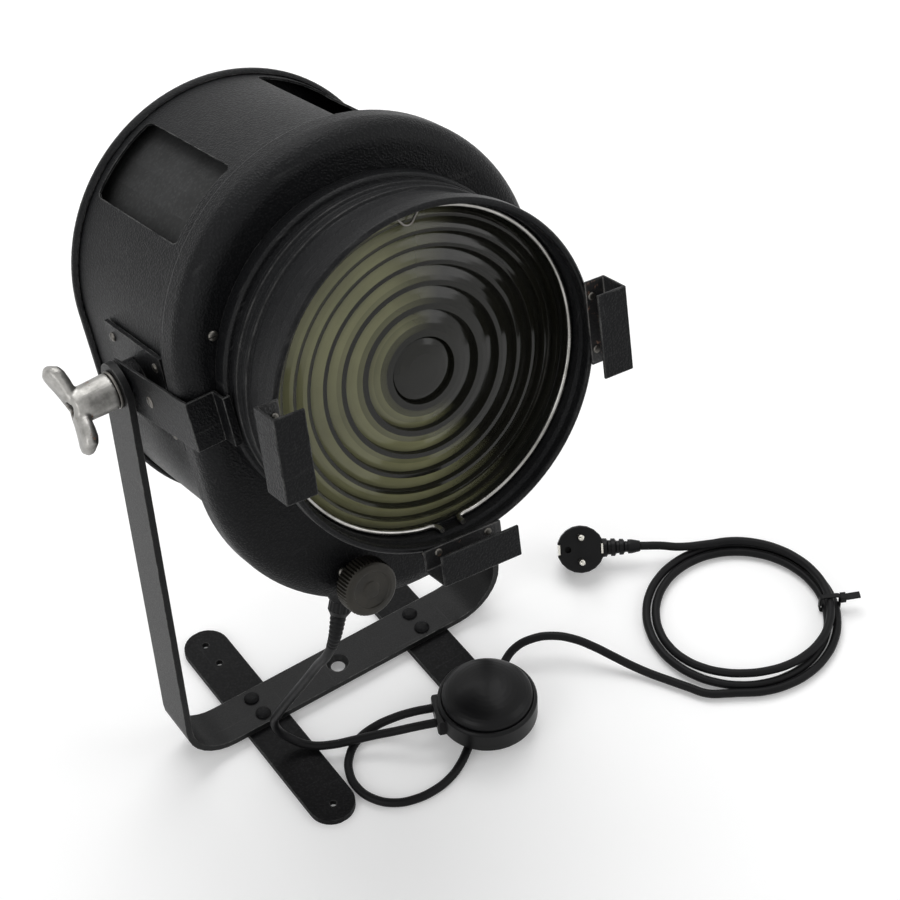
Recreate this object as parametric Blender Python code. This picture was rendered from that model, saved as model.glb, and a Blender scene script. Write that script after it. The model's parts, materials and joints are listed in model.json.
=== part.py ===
"""Theatre spotlight with a stepped lens, on a flat-steel yoke with a cross foot.

The lamp's own pieces are drawn in the lamp's frame: X is the tilt axis, -Y runs out through the
lens, and a place along the lens axis is written as a distance ahead of the tilt axis.
The cord, its foot switch and its plug lie on the floor beside the foot.
"""

import math

import bmesh
import bpy
from mathutils import Matrix, Vector

# Units and clearances
MM = 0.001
GAP = 0.3 * MM
STEPS_ROUND = 36
STEPS_SMALL = 20
STEPS_TINY = 12

# Yoke and foot, all of one flat bar
BAR_WIDTH = 35 * MM
BAR_THICK = 5 * MM
ARM_GAP = 1.7 * MM
YOKE_BEND = 38 * MM
PIVOT_HEIGHT = 377 * MM
FOOT_SPREAD = 142 * MM
FOOT_FRONT = 120 * MM
FOOT_REAR = 93 * MM
FOOT_HOLE = 2.7 * MM
FOOT_HOLE_INSET = 15 * MM
HOOK_HOLE = 5.5 * MM
FOOT_BOLT_SPACING = 17 * MM
FOOT_BOLT_SHANK = 3 * MM
FOOT_BOLT_HEAD = 6 * MM
FOOT_BOLT_DOME = 2.8 * MM

# Lamp housing: an obround drum, whose lower half-round sits below the lens axis
TILT_UP = math.radians(17)
LENS_RISE = 7 * MM
DRUM_RISE = 18 * MM
DRUM_DROP = 67.5 * MM
DRUM_RADIUS = 116 * MM
SHEET = 1.6 * MM
DRUM_REAR = -82 * MM
DRUM_FRONT = 50 * MM
BAND_STEP = 7 * MM
BAND_FRONT = 76 * MM
VENT_LOW = math.radians(41)
VENT_HIGH = math.radians(70)
VENT_REAR = -70 * MM
VENT_FRONT = 43 * MM
REAR_RIM_STEP = 3.5 * MM
REAR_RIM_WIDTH = 8 * MM
REAR_PANEL_INSET = 25 * MM
REAR_PANEL_RAISE = 10 * MM
REAR_SLOTS = 5
REAR_SLOT_LENGTH = 84 * MM
REAR_SLOT_WIDTH = 3.6 * MM
REAR_SLOT_PITCH = 13 * MM
BAFFLE_INSET = 10 * MM
BAFFLE_SHEET = 1.2 * MM
BAFFLE_DIP = math.radians(18)

# Front plate: a pressed pan with a big rolled edge
SHOULDER_STEP = 12.5 * MM
SHOULDER_REAR = 68 * MM
SHOULDER_FACE = 98 * MM
SHOULDER_ROLL = 15 * MM
SHOULDER_SHEET = 2 * MM
SPIGOT_DEPTH = 7 * MM

# Barrel, lens and colour-frame channels
BARREL_TURN = math.radians(5.5)
SPIGOT_INSET = 4.3 * MM
FLANGE_STEP = 5.5 * MM
FLANGE_DEPTH = 12.7 * MM
BARREL_WALL_STEP = 1.5 * MM
RIB_STEP = 3.6 * MM
RIB_AHEAD = 19 * MM
RIB_PITCH = 12 * MM
RIB_COUNT = 2
RIB_WIDTH = 3.6 * MM
RIB_SLOPE = 1.4 * MM
LENS_RADIUS = 104 * MM
LENS_REAR = 150.3 * MM
LENS_THICK = 7.6 * MM
LENS_ZONE_SHARES = (0.202, 0.365, 0.51, 0.635, 0.74, 0.832, 0.918, 0.99)
LENS_GROOVE = 3.6 * MM
RIM_STEP = 8 * MM
RIM_FRONT = 176 * MM
WIRE_RADIUS = 1.7 * MM
WIRE_GAP = math.radians(11)
WIRE_POST = 8 * MM
CLIP_WIRE = 0.8 * MM
CHANNEL_STEP = 18 * MM
CHANNEL_LENGTH = 56 * MM
CHANNEL_DEPTH = 23.5 * MM
CHANNEL_SHEET = 2 * MM
CHANNEL_REAR_LIP = 15.5 * MM
CHANNEL_FRONT_LIP = 21 * MM

# Tilt pivot
STUD_RADIUS = 5 * MM
STUD_HEAD_RADIUS = 10 * MM
STUD_HEAD_DEPTH = 6 * MM
PIVOT_PLATE_SHEET = 3 * MM
PIVOT_PLATE_REAR = -36 * MM
PIVOT_PLATE_FRONT = 44 * MM
PIVOT_PLATE_LOW = -38 * MM
PIVOT_PLATE_HIGH = 29 * MM
SPACER_RADIUS = 14 * MM
STRAP_WIDTH = 34 * MM
STRAP_SHEET = 2 * MM
WASHER_RADIUS = 13 * MM
WASHER_THICK = 2 * MM
NUT_FLATS = 17 * MM
NUT_HEIGHT = 8 * MM
KNOB_HUB_RADIUS = 12.5 * MM
KNOB_HUB_LENGTH = 20 * MM
KNOB_WING_SPAN = 62 * MM
KNOB_WING_DEPTH = 13 * MM
KNOB_WING_TILT = math.radians(-54.4)

# Focus drive and lamp carriage
FOCUS_X = -52 * MM
FOCUS_LIFT = 19.5 * MM
FOCUS_KNOB_RADIUS = 19 * MM
FOCUS_KNOB_DEPTH = 15 * MM
FOCUS_KNOB_GRIPS = 30
FOCUS_BOSS_RADIUS = 9 * MM
FOCUS_BOSS_FACE = 103 * MM
SPINDLE_RADIUS = 2.5 * MM
RAIL_X = 44 * MM
RAIL_LIFT = 47.5 * MM
RAIL_RADIUS = 3 * MM
CARRIAGE_REAR = -55 * MM
CARRIAGE_FRONT = 15 * MM
CARRIAGE_RISE = 10 * MM
CARRIAGE_HALF = 60 * MM
CARRIAGE_SHEET = 3 * MM
HOLDER_RADIUS = 21 * MM
HOLDER_HEIGHT = 34 * MM
BULB_RADIUS = 22 * MM
BULB_AHEAD = -15 * MM
BULB_TOP = 46 * MM
MIRROR_RADIUS = 62 * MM
MIRROR_OPENING = math.radians(62)
MIRROR_THICK = 1.5 * MM
MIRROR_HEIGHT = 10 * MM

# Cord and what is on it
CORD_RADIUS = 3.25 * MM
GLAND_ANGLE = math.radians(25)
GLAND_AHEAD = 75 * MM
GLAND_RADIUS = 9 * MM
GLAND_LENGTH = 17 * MM
SWITCH_AT = (64 * MM, -107 * MM)
SWITCH_LIFT = 12.1 * MM
SWITCH_RADIUS = 37 * MM
SWITCH_BASE = 20 * MM
SWITCH_TOP = 33 * MM
SWITCH_TRAVEL = 3 * MM
SWITCH_FACING = math.radians(158)
SWITCH_BLOCK_REACH = 40 * MM
SWITCH_ENTRY_SPACING = 14 * MM
SWITCH_ENTRY_HEIGHT = 9 * MM
COIL_AT = (278 * MM, -137 * MM)
COIL_RADIUS = 76.5 * MM
COIL_PITCH = 7.3 * MM
COIL_LIFT = 4.85 * MM
COIL_CLIMB = 7 * MM
COIL_START = math.radians(230)
COIL_TURNS = 2.56
COIL_STEPS = 24
TIE_ANGLE = math.radians(-28)
TIE_WIDTH = 4 * MM
TIE_THICK = 1.2 * MM
TIE_TAIL = 16 * MM
PLUG_RADIUS = 18.5 * MM
PLUG_DEPTH = 25 * MM
PLUG_REACH = 47 * MM
PLUG_CORD_DEPTH = 13 * MM
PLUG_FACE_AT = (208.2 * MM, -27.2 * MM, 27.2 * MM)
PLUG_TURN = math.radians(-122.27)
PLUG_LEAN = math.radians(45.4)
PIN_RADIUS = 2.4 * MM
PIN_LENGTH = 19 * MM
PIN_SPACING = 19 * MM

# Places that follow from the sizes above
BASE_UNDER = BAR_THICK + GAP
BASE_TOP = BASE_UNDER + BAR_THICK
DRUM_CENTRES = (DRUM_RISE, DRUM_RISE - DRUM_DROP)
DRUM_FLOOR = DRUM_CENTRES[1] - DRUM_RADIUS
BAND_RADIUS = DRUM_RADIUS + BAND_STEP
BAFFLE_RADIUS = DRUM_RADIUS - BAFFLE_INSET
REAR_RIM = DRUM_RADIUS + REAR_RIM_STEP
REAR_PANEL = DRUM_RADIUS - REAR_PANEL_INSET
SHOULDER_RADIUS = DRUM_RADIUS + SHOULDER_STEP
RAIL_Z = DRUM_FLOOR + RAIL_LIFT
FOCUS_Z = DRUM_FLOOR + FOCUS_LIFT
CARRIAGE_TOP = RAIL_Z + CARRIAGE_RISE
STUD_HOLE = STUD_RADIUS + GAP
STRAP_INNER = SHOULDER_RADIUS + GAP
STRAP_OUTER = STRAP_INNER + STRAP_SHEET
ARM_INNER = STRAP_OUTER + ARM_GAP
ARM_OUTER = ARM_INNER + BAR_THICK
PLATE_INNER = DRUM_RADIUS + GAP
PLATE_OUTER = PLATE_INNER + PIVOT_PLATE_SHEET
SHOULDER_INSIDE = SHOULDER_FACE - SHOULDER_SHEET
REAR_INSIDE = DRUM_REAR - 2.5 * MM
REAR_FACE = REAR_INSIDE - SHEET
REAR_PANEL_FACE = REAR_FACE - REAR_PANEL_RAISE
REAR_PANEL_INSIDE = REAR_PANEL_FACE + SHEET
LENS_FRONT = LENS_REAR + LENS_THICK
BARREL_SPIGOT = LENS_RADIUS - SPIGOT_INSET
BARREL_BACK = SHOULDER_FACE - SPIGOT_DEPTH
FLANGE_RADIUS = LENS_RADIUS + FLANGE_STEP
RIM_RADIUS = LENS_RADIUS + RIM_STEP
CHANNEL_REACH = LENS_RADIUS + CHANNEL_STEP
BARREL_OPENING = (BARREL_SPIGOT + GAP) / math.cos(math.pi / STEPS_ROUND)

# Colours: name, base colour, roughness, metallic
FINISHES = {
    "black_crackle": ((0.018, 0.019, 0.022), 0.55, 0.0),
    "worn_steel": ((0.16, 0.16, 0.16), 0.45, 0.6),
    "cast_alloy": ((0.42, 0.41, 0.38), 0.42, 0.8),
    "spring_steel": ((0.62, 0.61, 0.57), 0.28, 1.0),
    "plated_steel": ((0.33, 0.32, 0.29), 0.45, 0.9),
    "turned_brass": ((0.36, 0.33, 0.24), 0.5, 0.7),
    "lens_glass": ((0.72, 0.74, 0.62), 0.06, 0.0),
    "lamp_glass": ((0.9, 0.9, 0.88), 0.05, 0.0),
    "mirror_metal": ((0.85, 0.85, 0.84), 0.08, 1.0),
    "ceramic": ((0.75, 0.73, 0.68), 0.35, 0.0),
    "inner_sheet": ((0.10, 0.10, 0.10), 0.7, 0.3),
    "cord_rubber": ((0.012, 0.012, 0.013), 0.5, 0.0),
    "switch_plastic": ((0.014, 0.014, 0.015), 0.32, 0.0),
    "contact_metal": ((0.55, 0.52, 0.45), 0.35, 1.0),
}


def finish(name):
    """The named material, made on first use."""
    material = bpy.data.materials.get(name)
    if material:
        return material
    colour, roughness, metallic = FINISHES[name]
    material = bpy.data.materials.new(name)
    material.use_nodes = True
    shader = material.node_tree.nodes["Principled BSDF"]
    shader.inputs["Base Color"].default_value = (*colour, 1.0)
    shader.inputs["Roughness"].default_value = roughness
    shader.inputs["Metallic"].default_value = metallic
    material.diffuse_color = (*colour, 1.0)
    return material


def empty(name, parent=None, location=(0, 0, 0), rotation=(0, 0, 0)):
    """An empty that carries a group of pieces, on its joint's axis where the group moves."""
    holder = bpy.data.objects.new(name, None)
    holder.location = location
    holder.rotation_euler = rotation
    holder.parent = parent
    bpy.context.scene.collection.objects.link(holder)
    return holder


def place(name, data, slot, parent, location=(0, 0, 0), rotation=(0, 0, 0)):
    """Put mesh or curve data in the scene as a named piece."""
    piece = bpy.data.objects.new(name, data)
    piece.location = location
    piece.rotation_euler = rotation
    piece.parent = parent
    bpy.context.scene.collection.objects.link(piece)
    if slot:
        data.materials.append(finish(slot))
    return piece


def mesh_from(name, bm, sharp=35):
    """Close a bmesh into a smooth-shaded mesh with outward faces."""
    bmesh.ops.recalc_face_normals(bm, faces=bm.faces)
    mesh = bpy.data.meshes.new(name)
    bm.to_mesh(mesh)
    bm.free()
    mesh.shade_smooth()
    mesh.set_sharp_from_angle(angle=math.radians(sharp))
    return mesh


def loft(name, rings, closed=False, sharp=35):
    """Skin a row of rings that have equal counts of points.

    The ends are capped, or joined to each other where closed is True.
    """
    bm = bmesh.new()
    rows = [[bm.verts.new(point) for point in ring] for ring in rings]
    pairs = list(zip(rows, rows[1:]))
    if closed:
        pairs.append((rows[-1], rows[0]))
    for first, second in pairs:
        for i in range(len(first)):
            j = (i + 1) % len(first)
            bm.faces.new((first[i], first[j], second[j], second[i]))
    if not closed:
        bm.faces.new(rows[0])
        bm.faces.new(list(reversed(rows[-1])))
    return mesh_from(name, bm, sharp)


def prism(name, outline, reach, sharp=35):
    """Extrude a flat outline by the vector reach."""
    far = [Vector(point) + Vector(reach) for point in outline]
    return loft(name, [outline, far], sharp=sharp)


def turned(name, profile, steps, closed, axis=Vector((0, -1, 0)), sharp=35):
    """Turn a profile of (radius, along) points about an axis through the origin.

    A closed profile is a ring's section; an open one starts and ends on the axis.
    """
    side = axis.orthogonal().normalized()
    bm = bmesh.new()
    points = [bm.verts.new(side * radius + axis * along) for radius, along in profile]
    edges = [bm.edges.new(pair) for pair in zip(points, points[1:])]
    if closed:
        edges.append(bm.edges.new((points[-1], points[0])))
    bmesh.ops.spin(bm, geom=points + edges, cent=(0, 0, 0), axis=axis, angle=2 * math.pi,
                   steps=steps, use_merge=True, use_duplicate=False)
    bmesh.ops.remove_doubles(bm, verts=bm.verts, dist=0.01 * MM)
    return mesh_from(name, bm, sharp)


def obround(radius, along, steps=STEPS_ROUND):
    """A ring of points round the drum's section, with the two half-rounds apart."""
    half = steps // 2
    ring = []
    for centre, start in ((DRUM_CENTRES[0], 0), (DRUM_CENTRES[1], math.pi)):
        for i in range(half + 1):
            angle = start + math.pi * i / half
            ring.append(Vector((radius * math.cos(angle), -along,
                                centre + radius * math.sin(angle))))
    return ring


def arc(centre, radius, start, end, steps):
    """Points along an arc in a plane, as (u, v) pairs, both ends included."""
    angles = [start + (end - start) * i / steps for i in range(steps + 1)]
    return [(centre[0] + radius * math.cos(a), centre[1] + radius * math.sin(a)) for a in angles]


def tube(name, points, radius, resolution, slot, parent):
    """A round tube with filled caps along a row of points."""
    curve = bpy.data.curves.new(name, "CURVE")
    curve.dimensions = "3D"
    curve.bevel_depth = radius
    curve.bevel_resolution = resolution
    curve.use_fill_caps = True
    spline = curve.splines.new("POLY")
    spline.points.add(len(points) - 1)
    for knot, point in zip(spline.points, points):
        knot.co = (*point, 1.0)
    spline.use_smooth = True
    return place(name, curve, slot, parent)


def smooth_route(knots, spacing):
    """Points at an even spacing along a smooth curve through the knots."""
    knots = [Vector(knot) for knot in knots]
    ghost_start = knots[0] * 2 - knots[1]
    ghost_end = knots[-1] * 2 - knots[-2]
    padded = [ghost_start] + knots + [ghost_end]
    dense = []
    for i in range(1, len(padded) - 2):
        before, start, end, after = padded[i - 1:i + 3]
        for step in range(24):
            dense.append(centripetal(before, start, end, after, step / 24))
    dense.append(knots[-1])
    lengths = [0.0]
    for first, second in zip(dense, dense[1:]):
        lengths.append(lengths[-1] + (second - first).length)
    count = max(2, round(lengths[-1] / spacing))
    points = []
    at = 0
    for i in range(count + 1):
        target = lengths[-1] * i / count
        while at < len(lengths) - 2 and lengths[at + 1] < target:
            at += 1
        share = (target - lengths[at]) / (lengths[at + 1] - lengths[at])
        points.append(dense[at].lerp(dense[at + 1], share))
    return points


def centripetal(before, start, end, after, share):
    """A point between start and end on a centripetal Catmull-Rom curve."""
    t0 = 0.0
    t1 = t0 + math.sqrt((start - before).length)
    t2 = t1 + math.sqrt((end - start).length)
    t3 = t2 + math.sqrt((after - end).length)
    t = t1 + (t2 - t1) * share
    a1 = before * ((t1 - t) / (t1 - t0)) + start * ((t - t0) / (t1 - t0))
    a2 = start * ((t2 - t) / (t2 - t1)) + end * ((t - t1) / (t2 - t1))
    a3 = end * ((t3 - t) / (t3 - t2)) + after * ((t - t2) / (t3 - t2))
    b1 = a1 * ((t2 - t) / (t2 - t0)) + a2 * ((t - t0) / (t2 - t0))
    b2 = a2 * ((t3 - t) / (t3 - t1)) + a3 * ((t - t1) / (t3 - t1))
    return b1 * ((t2 - t) / (t2 - t1)) + b2 * ((t - t1) / (t2 - t1))


def cutter(name, data, parent, location=(0, 0, 0), rotation=(0, 0, 0)):
    """A shape that only cuts: drawn as wire and left out of the model."""
    tool = place(name, data, None, parent, location, rotation)
    tool.hide_render = True
    tool.display_type = "WIRE"
    return tool


def cut(piece, tool, operation="DIFFERENCE"):
    """Cut a piece with a tool, or join the tool to it."""
    change = piece.modifiers.new(tool.name, "BOOLEAN")
    change.operation = operation
    change.object = tool
    return change


def bores(name, holes, axis, steps=STEPS_SMALL):
    """Round cutters in one mesh, each as (centre, radius, start, end) along the axis."""
    axis = Vector(axis)
    side = axis.orthogonal().normalized()
    other = axis.cross(side)
    bm = bmesh.new()
    for centre, radius, start, end in holes:
        rows = []
        for along in (start, end):
            rows.append([])
            for i in range(steps):
                angle = 2 * math.pi * i / steps
                spoke = side * math.cos(angle) + other * math.sin(angle)
                rows[-1].append(bm.verts.new(Vector(centre) + axis * along + spoke * radius))
        for i in range(steps):
            j = (i + 1) % steps
            bm.faces.new((rows[0][i], rows[0][j], rows[1][j], rows[1][i]))
        bm.faces.new(rows[0])
        bm.faces.new(list(reversed(rows[1])))
    return mesh_from(name, bm)


def flat_bar(name, path, normals, side, half_widths, thickness):
    """A flat bar swept along a path, its width across side and its thickness along normals."""
    rings = []
    for point, normal, half in zip(path, normals, half_widths):
        point, normal, across = Vector(point), Vector(normal), Vector(side) * half
        rings.append([point - across, point + across,
                      point + across + normal * thickness, point - across + normal * thickness])
    return loft(name, rings)


def end_profile(steps=7):
    """Distances from a round bar end's centre, and half widths there, tip first."""
    half = BAR_WIDTH / 2
    angles = [math.radians(80 - 80 * i / steps) for i in range(steps + 1)]
    return [(half * math.sin(a), half * math.cos(a)) for a in angles]


def build_yoke(root):
    """One flat bar bent up at both ends, with round arm ends, pivot holes and a hook hole."""
    bend = YOKE_BEND
    arm_foot = BASE_UNDER + bend
    path, normals, halves = [], [], []
    for offset, half in end_profile():
        path.append((-ARM_OUTER, 0, PIVOT_HEIGHT + offset))
        normals.append((1, 0, 0))
        halves.append(half)
    for i in range(9):
        angle = math.pi + math.pi / 2 * i / 8
        path.append((-ARM_OUTER + bend + bend * math.cos(angle), 0,
                     arm_foot + bend * math.sin(angle)))
        normals.append((-math.cos(angle), 0, -math.sin(angle)))
        halves.append(BAR_WIDTH / 2)
    for point, normal, half in list(zip(path, normals, halves))[::-1]:
        path.append((-point[0], 0, point[2]))
        normals.append((-normal[0], 0, normal[2]))
        halves.append(half)
    yoke = place("yoke", flat_bar("yoke", path, normals, (0, 1, 0), halves, BAR_THICK),
                 "worn_steel", root)
    span = ARM_OUTER + BAR_THICK
    pivot = bores("pivot_bore", [((0, 0, PIVOT_HEIGHT), STUD_HOLE, -span, span)], (1, 0, 0))
    cut(yoke, cutter("pivot_bore", pivot, root))
    sink = BAR_THICK + 1 * MM
    down = [((x, y, BASE_UNDER), FOOT_BOLT_SHANK + GAP, -sink, sink) for x, y in foot_bolts()]
    cut(yoke, cutter("base_bolt_bores", bores("base_bolt_bores", down, (0, 0, 1), STEPS_TINY), root))
    wide = HOOK_HOLE + BAR_THICK - 1 * MM
    hook = turned("hook_hole", [(0, -sink), (HOOK_HOLE, -sink), (HOOK_HOLE, BAR_THICK * 0.3),
                                (wide, BAR_THICK + 1 * MM), (0, BAR_THICK + 1 * MM)],
                  STEPS_SMALL, False, Vector((0, 0, 1)))
    cut(yoke, cutter("hook_hole", hook, root, (0, 0, BASE_UNDER)))
    return yoke


def foot_bolts():
    """Places of the four bolts that hold the base bar on the two foot strips."""
    return [(side * FOOT_SPREAD / 2, end * FOOT_BOLT_SPACING / 2)
            for side in (-1, 1) for end in (-1, 1)]


def build_foot(root):
    """Two round-ended strips under the base bar, and the bolts through both."""
    half = BAR_WIDTH / 2
    ends = end_profile()
    front = [(0, -(FOOT_FRONT - half) - offset, 0) for offset, _ in ends]
    rear = [(0, FOOT_REAR - half + offset, 0) for offset, _ in reversed(ends)]
    halves = [w for _, w in ends] + [w for _, w in reversed(ends)]
    normals = [(0, 0, 1)] * len(halves)
    for side, label in ((-1, "left"), (1, "right")):
        name = "foot_strip_" + label
        x = side * FOOT_SPREAD / 2
        mesh = flat_bar(name, front + rear, normals, (1, 0, 0), halves, BAR_THICK)
        strip = place(name, mesh, "black_crackle", root, (x, 0, 0))
        reach = (-1 * MM, BAR_THICK + 1 * MM)
        holes = [((0, y, 0), FOOT_HOLE, *reach)
                 for y in (-FOOT_FRONT + FOOT_HOLE_INSET, FOOT_REAR - FOOT_HOLE_INSET,
                           FOOT_REAR - 2.4 * FOOT_HOLE_INSET)]
        holes += [((0, end * FOOT_BOLT_SPACING / 2, 0), FOOT_BOLT_SHANK + GAP, *reach)
                  for end in (-1, 1)]
        tool = name + "_bores"
        cut(strip, cutter(tool, bores(tool, holes, (0, 0, 1), STEPS_TINY), root, (x, 0, 0)))
    top = BASE_TOP + GAP
    profile = [(0, 0.8 * MM), (FOOT_BOLT_SHANK, 0.8 * MM), (FOOT_BOLT_SHANK, top),
               (FOOT_BOLT_HEAD, top), (FOOT_BOLT_HEAD * 0.94, top + FOOT_BOLT_DOME * 0.4),
               (FOOT_BOLT_HEAD * 0.6, top + FOOT_BOLT_DOME * 0.85), (0, top + FOOT_BOLT_DOME)]
    for number, (x, y) in enumerate(foot_bolts(), 1):
        name = f"foot_bolt_{number}"
        mesh = turned(name, profile, STEPS_TINY, False, Vector((0, 0, 1)))
        place(name, mesh, "plated_steel", root, (x, y, 0))


def along_x(points, x):
    """Turn (ahead, up) pairs into points on a plane across the tilt axis."""
    return [Vector((x, -ahead, up)) for ahead, up in points]


def build_shell(lamp):
    """The drum: an obround sheet tube that steps out to a band, with a vent window each side."""
    inner = DRUM_RADIUS - SHEET
    profile = [(DRUM_RADIUS, DRUM_REAR), (DRUM_RADIUS, DRUM_FRONT),
               (BAND_RADIUS, DRUM_FRONT + BAND_STEP), (BAND_RADIUS, BAND_FRONT),
               (BAND_RADIUS - SHEET, BAND_FRONT), (BAND_RADIUS - SHEET, DRUM_FRONT + BAND_STEP + SHEET / 2),
               (inner, DRUM_FRONT + SHEET / 2), (inner, DRUM_REAR)]
    shell = place("housing_shell", loft("housing_shell", [obround(r, a) for r, a in profile], True),
                  "black_crackle", lamp)
    for sign, label in ((-1, "left"), (1, "right")):
        section = []
        for radius, turn in ((DRUM_RADIUS + 6 * MM, 1), (DRUM_RADIUS - 6 * MM, -1)):
            angles = [VENT_LOW + (VENT_HIGH - VENT_LOW) * i / 8 for i in range(9)][::turn]
            section += [Vector((sign * radius * math.cos(a), -VENT_REAR,
                                DRUM_RISE + radius * math.sin(a))) for a in angles]
        window = prism("vent_" + label, section, (0, -(VENT_FRONT - VENT_REAR), 0))
        cut(shell, cutter("vent_" + label, window, lamp))
    reach = DRUM_RADIUS + 4 * MM
    stud = bores("shell_stud_bore", [((0, 0, 0), STUD_HOLE, -reach, reach)], (1, 0, 0))
    cut(shell, cutter("shell_stud_bore", stud, lamp))
    return shell


def build_rear_cover(lamp):
    """Pressed cover with a rolled rim, a raised panel and cooling slots."""
    skirt = DRUM_RADIUS + GAP
    rim_front = REAR_INSIDE + REAR_RIM_WIDTH
    profile = [(REAR_PANEL, REAR_PANEL_FACE), (REAR_PANEL + 4 * MM, REAR_PANEL_FACE + 2 * MM),
               (REAR_PANEL + 9 * MM, REAR_FACE), (DRUM_RADIUS - 1 * MM, REAR_FACE),
               (REAR_RIM - 1.5 * MM, REAR_FACE + 2 * MM),
               (REAR_RIM, REAR_FACE + 4 * MM), (REAR_RIM, rim_front - 2 * MM),
               (REAR_RIM - 2 * MM, rim_front), (skirt, rim_front), (skirt, REAR_INSIDE + SHEET),
               (skirt - 4 * MM, REAR_INSIDE), (REAR_PANEL + 8.1 * MM, REAR_INSIDE),
               (REAR_PANEL + 3.1 * MM, REAR_PANEL_INSIDE + 2 * MM), (REAR_PANEL, REAR_PANEL_INSIDE)]
    cover = place("rear_cover", loft("rear_cover", [obround(r, a) for r, a in profile]),
                  "black_crackle", lamp)
    first = -REAR_SLOT_PITCH * (REAR_SLOTS - 1) / 2
    bm = bmesh.new()
    for i in range(REAR_SLOTS):
        centre = DRUM_RISE - DRUM_DROP / 2 + first + REAR_SLOT_PITCH * i
        half = REAR_SLOT_LENGTH / 2 - REAR_SLOT_WIDTH / 2
        outline = arc((half, centre), REAR_SLOT_WIDTH / 2, -math.pi / 2, math.pi / 2, 6)
        outline += arc((-half, centre), REAR_SLOT_WIDTH / 2, math.pi / 2, 1.5 * math.pi, 6)
        rows = [[bm.verts.new((x, -a, z)) for x, z in outline]
                for a in (REAR_PANEL_FACE - 4 * MM, REAR_PANEL_INSIDE + 4 * MM)]
        for k in range(len(outline)):
            m = (k + 1) % len(outline)
            bm.faces.new((rows[0][k], rows[0][m], rows[1][m], rows[1][k]))
        bm.faces.new(rows[0])
        bm.faces.new(list(reversed(rows[1])))
    cut(cover, cutter("rear_slots", mesh_from("rear_slots", bm), lamp))
    return cover


def build_front_plate(lamp):
    """Pressed pan with a big rolled edge, a round opening for the barrel and a spindle boss."""
    roll, sheet = SHOULDER_ROLL, SHOULDER_SHEET
    outer = [(SHOULDER_RADIUS - roll * 2.6, SHOULDER_FACE)]
    corner = (SHOULDER_RADIUS - roll, SHOULDER_FACE - roll)
    outer += arc(corner, roll, math.pi / 2, 0, 5)
    outer += [(SHOULDER_RADIUS, SHOULDER_REAR + 4 * MM),
              (SHOULDER_RADIUS - 1.2 * MM, SHOULDER_REAR + 1.2 * MM),
              (SHOULDER_RADIUS - 3 * MM, SHOULDER_REAR)]
    inner = [(BAND_RADIUS + GAP, SHOULDER_REAR), (BAND_RADIUS + GAP, SHOULDER_REAR + sheet),
             (SHOULDER_RADIUS - sheet, SHOULDER_REAR + 2 * sheet + 1 * MM)]
    inner += arc(corner, roll - sheet, 0, math.pi / 2, 5)
    inner += [(SHOULDER_RADIUS - roll * 2.6, SHOULDER_INSIDE)]
    rings = [obround(radius, along) for radius, along in outer + inner]
    plate = place("front_plate", loft("front_plate", rings), "black_crackle", lamp)
    boss = bores("focus_boss", [((FOCUS_X, 0, FOCUS_Z), FOCUS_BOSS_RADIUS,
                                 SHOULDER_FACE - roll, FOCUS_BOSS_FACE)], (0, -1, 0))
    cut(plate, cutter("focus_boss", boss, lamp), "UNION")
    opening = bores("barrel_opening", [((0, 0, LENS_RISE), BARREL_OPENING, SHOULDER_FACE - 9 * MM,
                                        SHOULDER_FACE + 9 * MM)], (0, -1, 0), STEPS_ROUND)
    cut(plate, cutter("barrel_opening", opening, lamp))
    bore = bores("focus_bore", [((FOCUS_X, 0, FOCUS_Z), SPINDLE_RADIUS + GAP,
                                 SHOULDER_FACE - 2 * roll, FOCUS_BOSS_FACE + 5 * MM)], (0, -1, 0))
    cut(plate, cutter("focus_bore", bore, lamp))
    return plate


def build_baffle(lamp):
    """Light baffle behind the vent windows: an arch that is open below."""
    outer, inner = BAFFLE_RADIUS, BAFFLE_RADIUS - BAFFLE_SHEET
    start, end = -BAFFLE_DIP, math.pi + BAFFLE_DIP
    steps = 26
    outline = arc((0, DRUM_RISE), outer, start, end, steps)
    outline += arc((0, DRUM_RISE), inner, end, start, steps)
    rear = REAR_INSIDE + GAP
    points = [Vector((x, -rear, z)) for x, z in outline]
    mesh = prism("light_baffle", points, (0, -(BARREL_BACK - GAP - rear), 0))
    return place("light_baffle", mesh, "inner_sheet", lamp)


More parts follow.
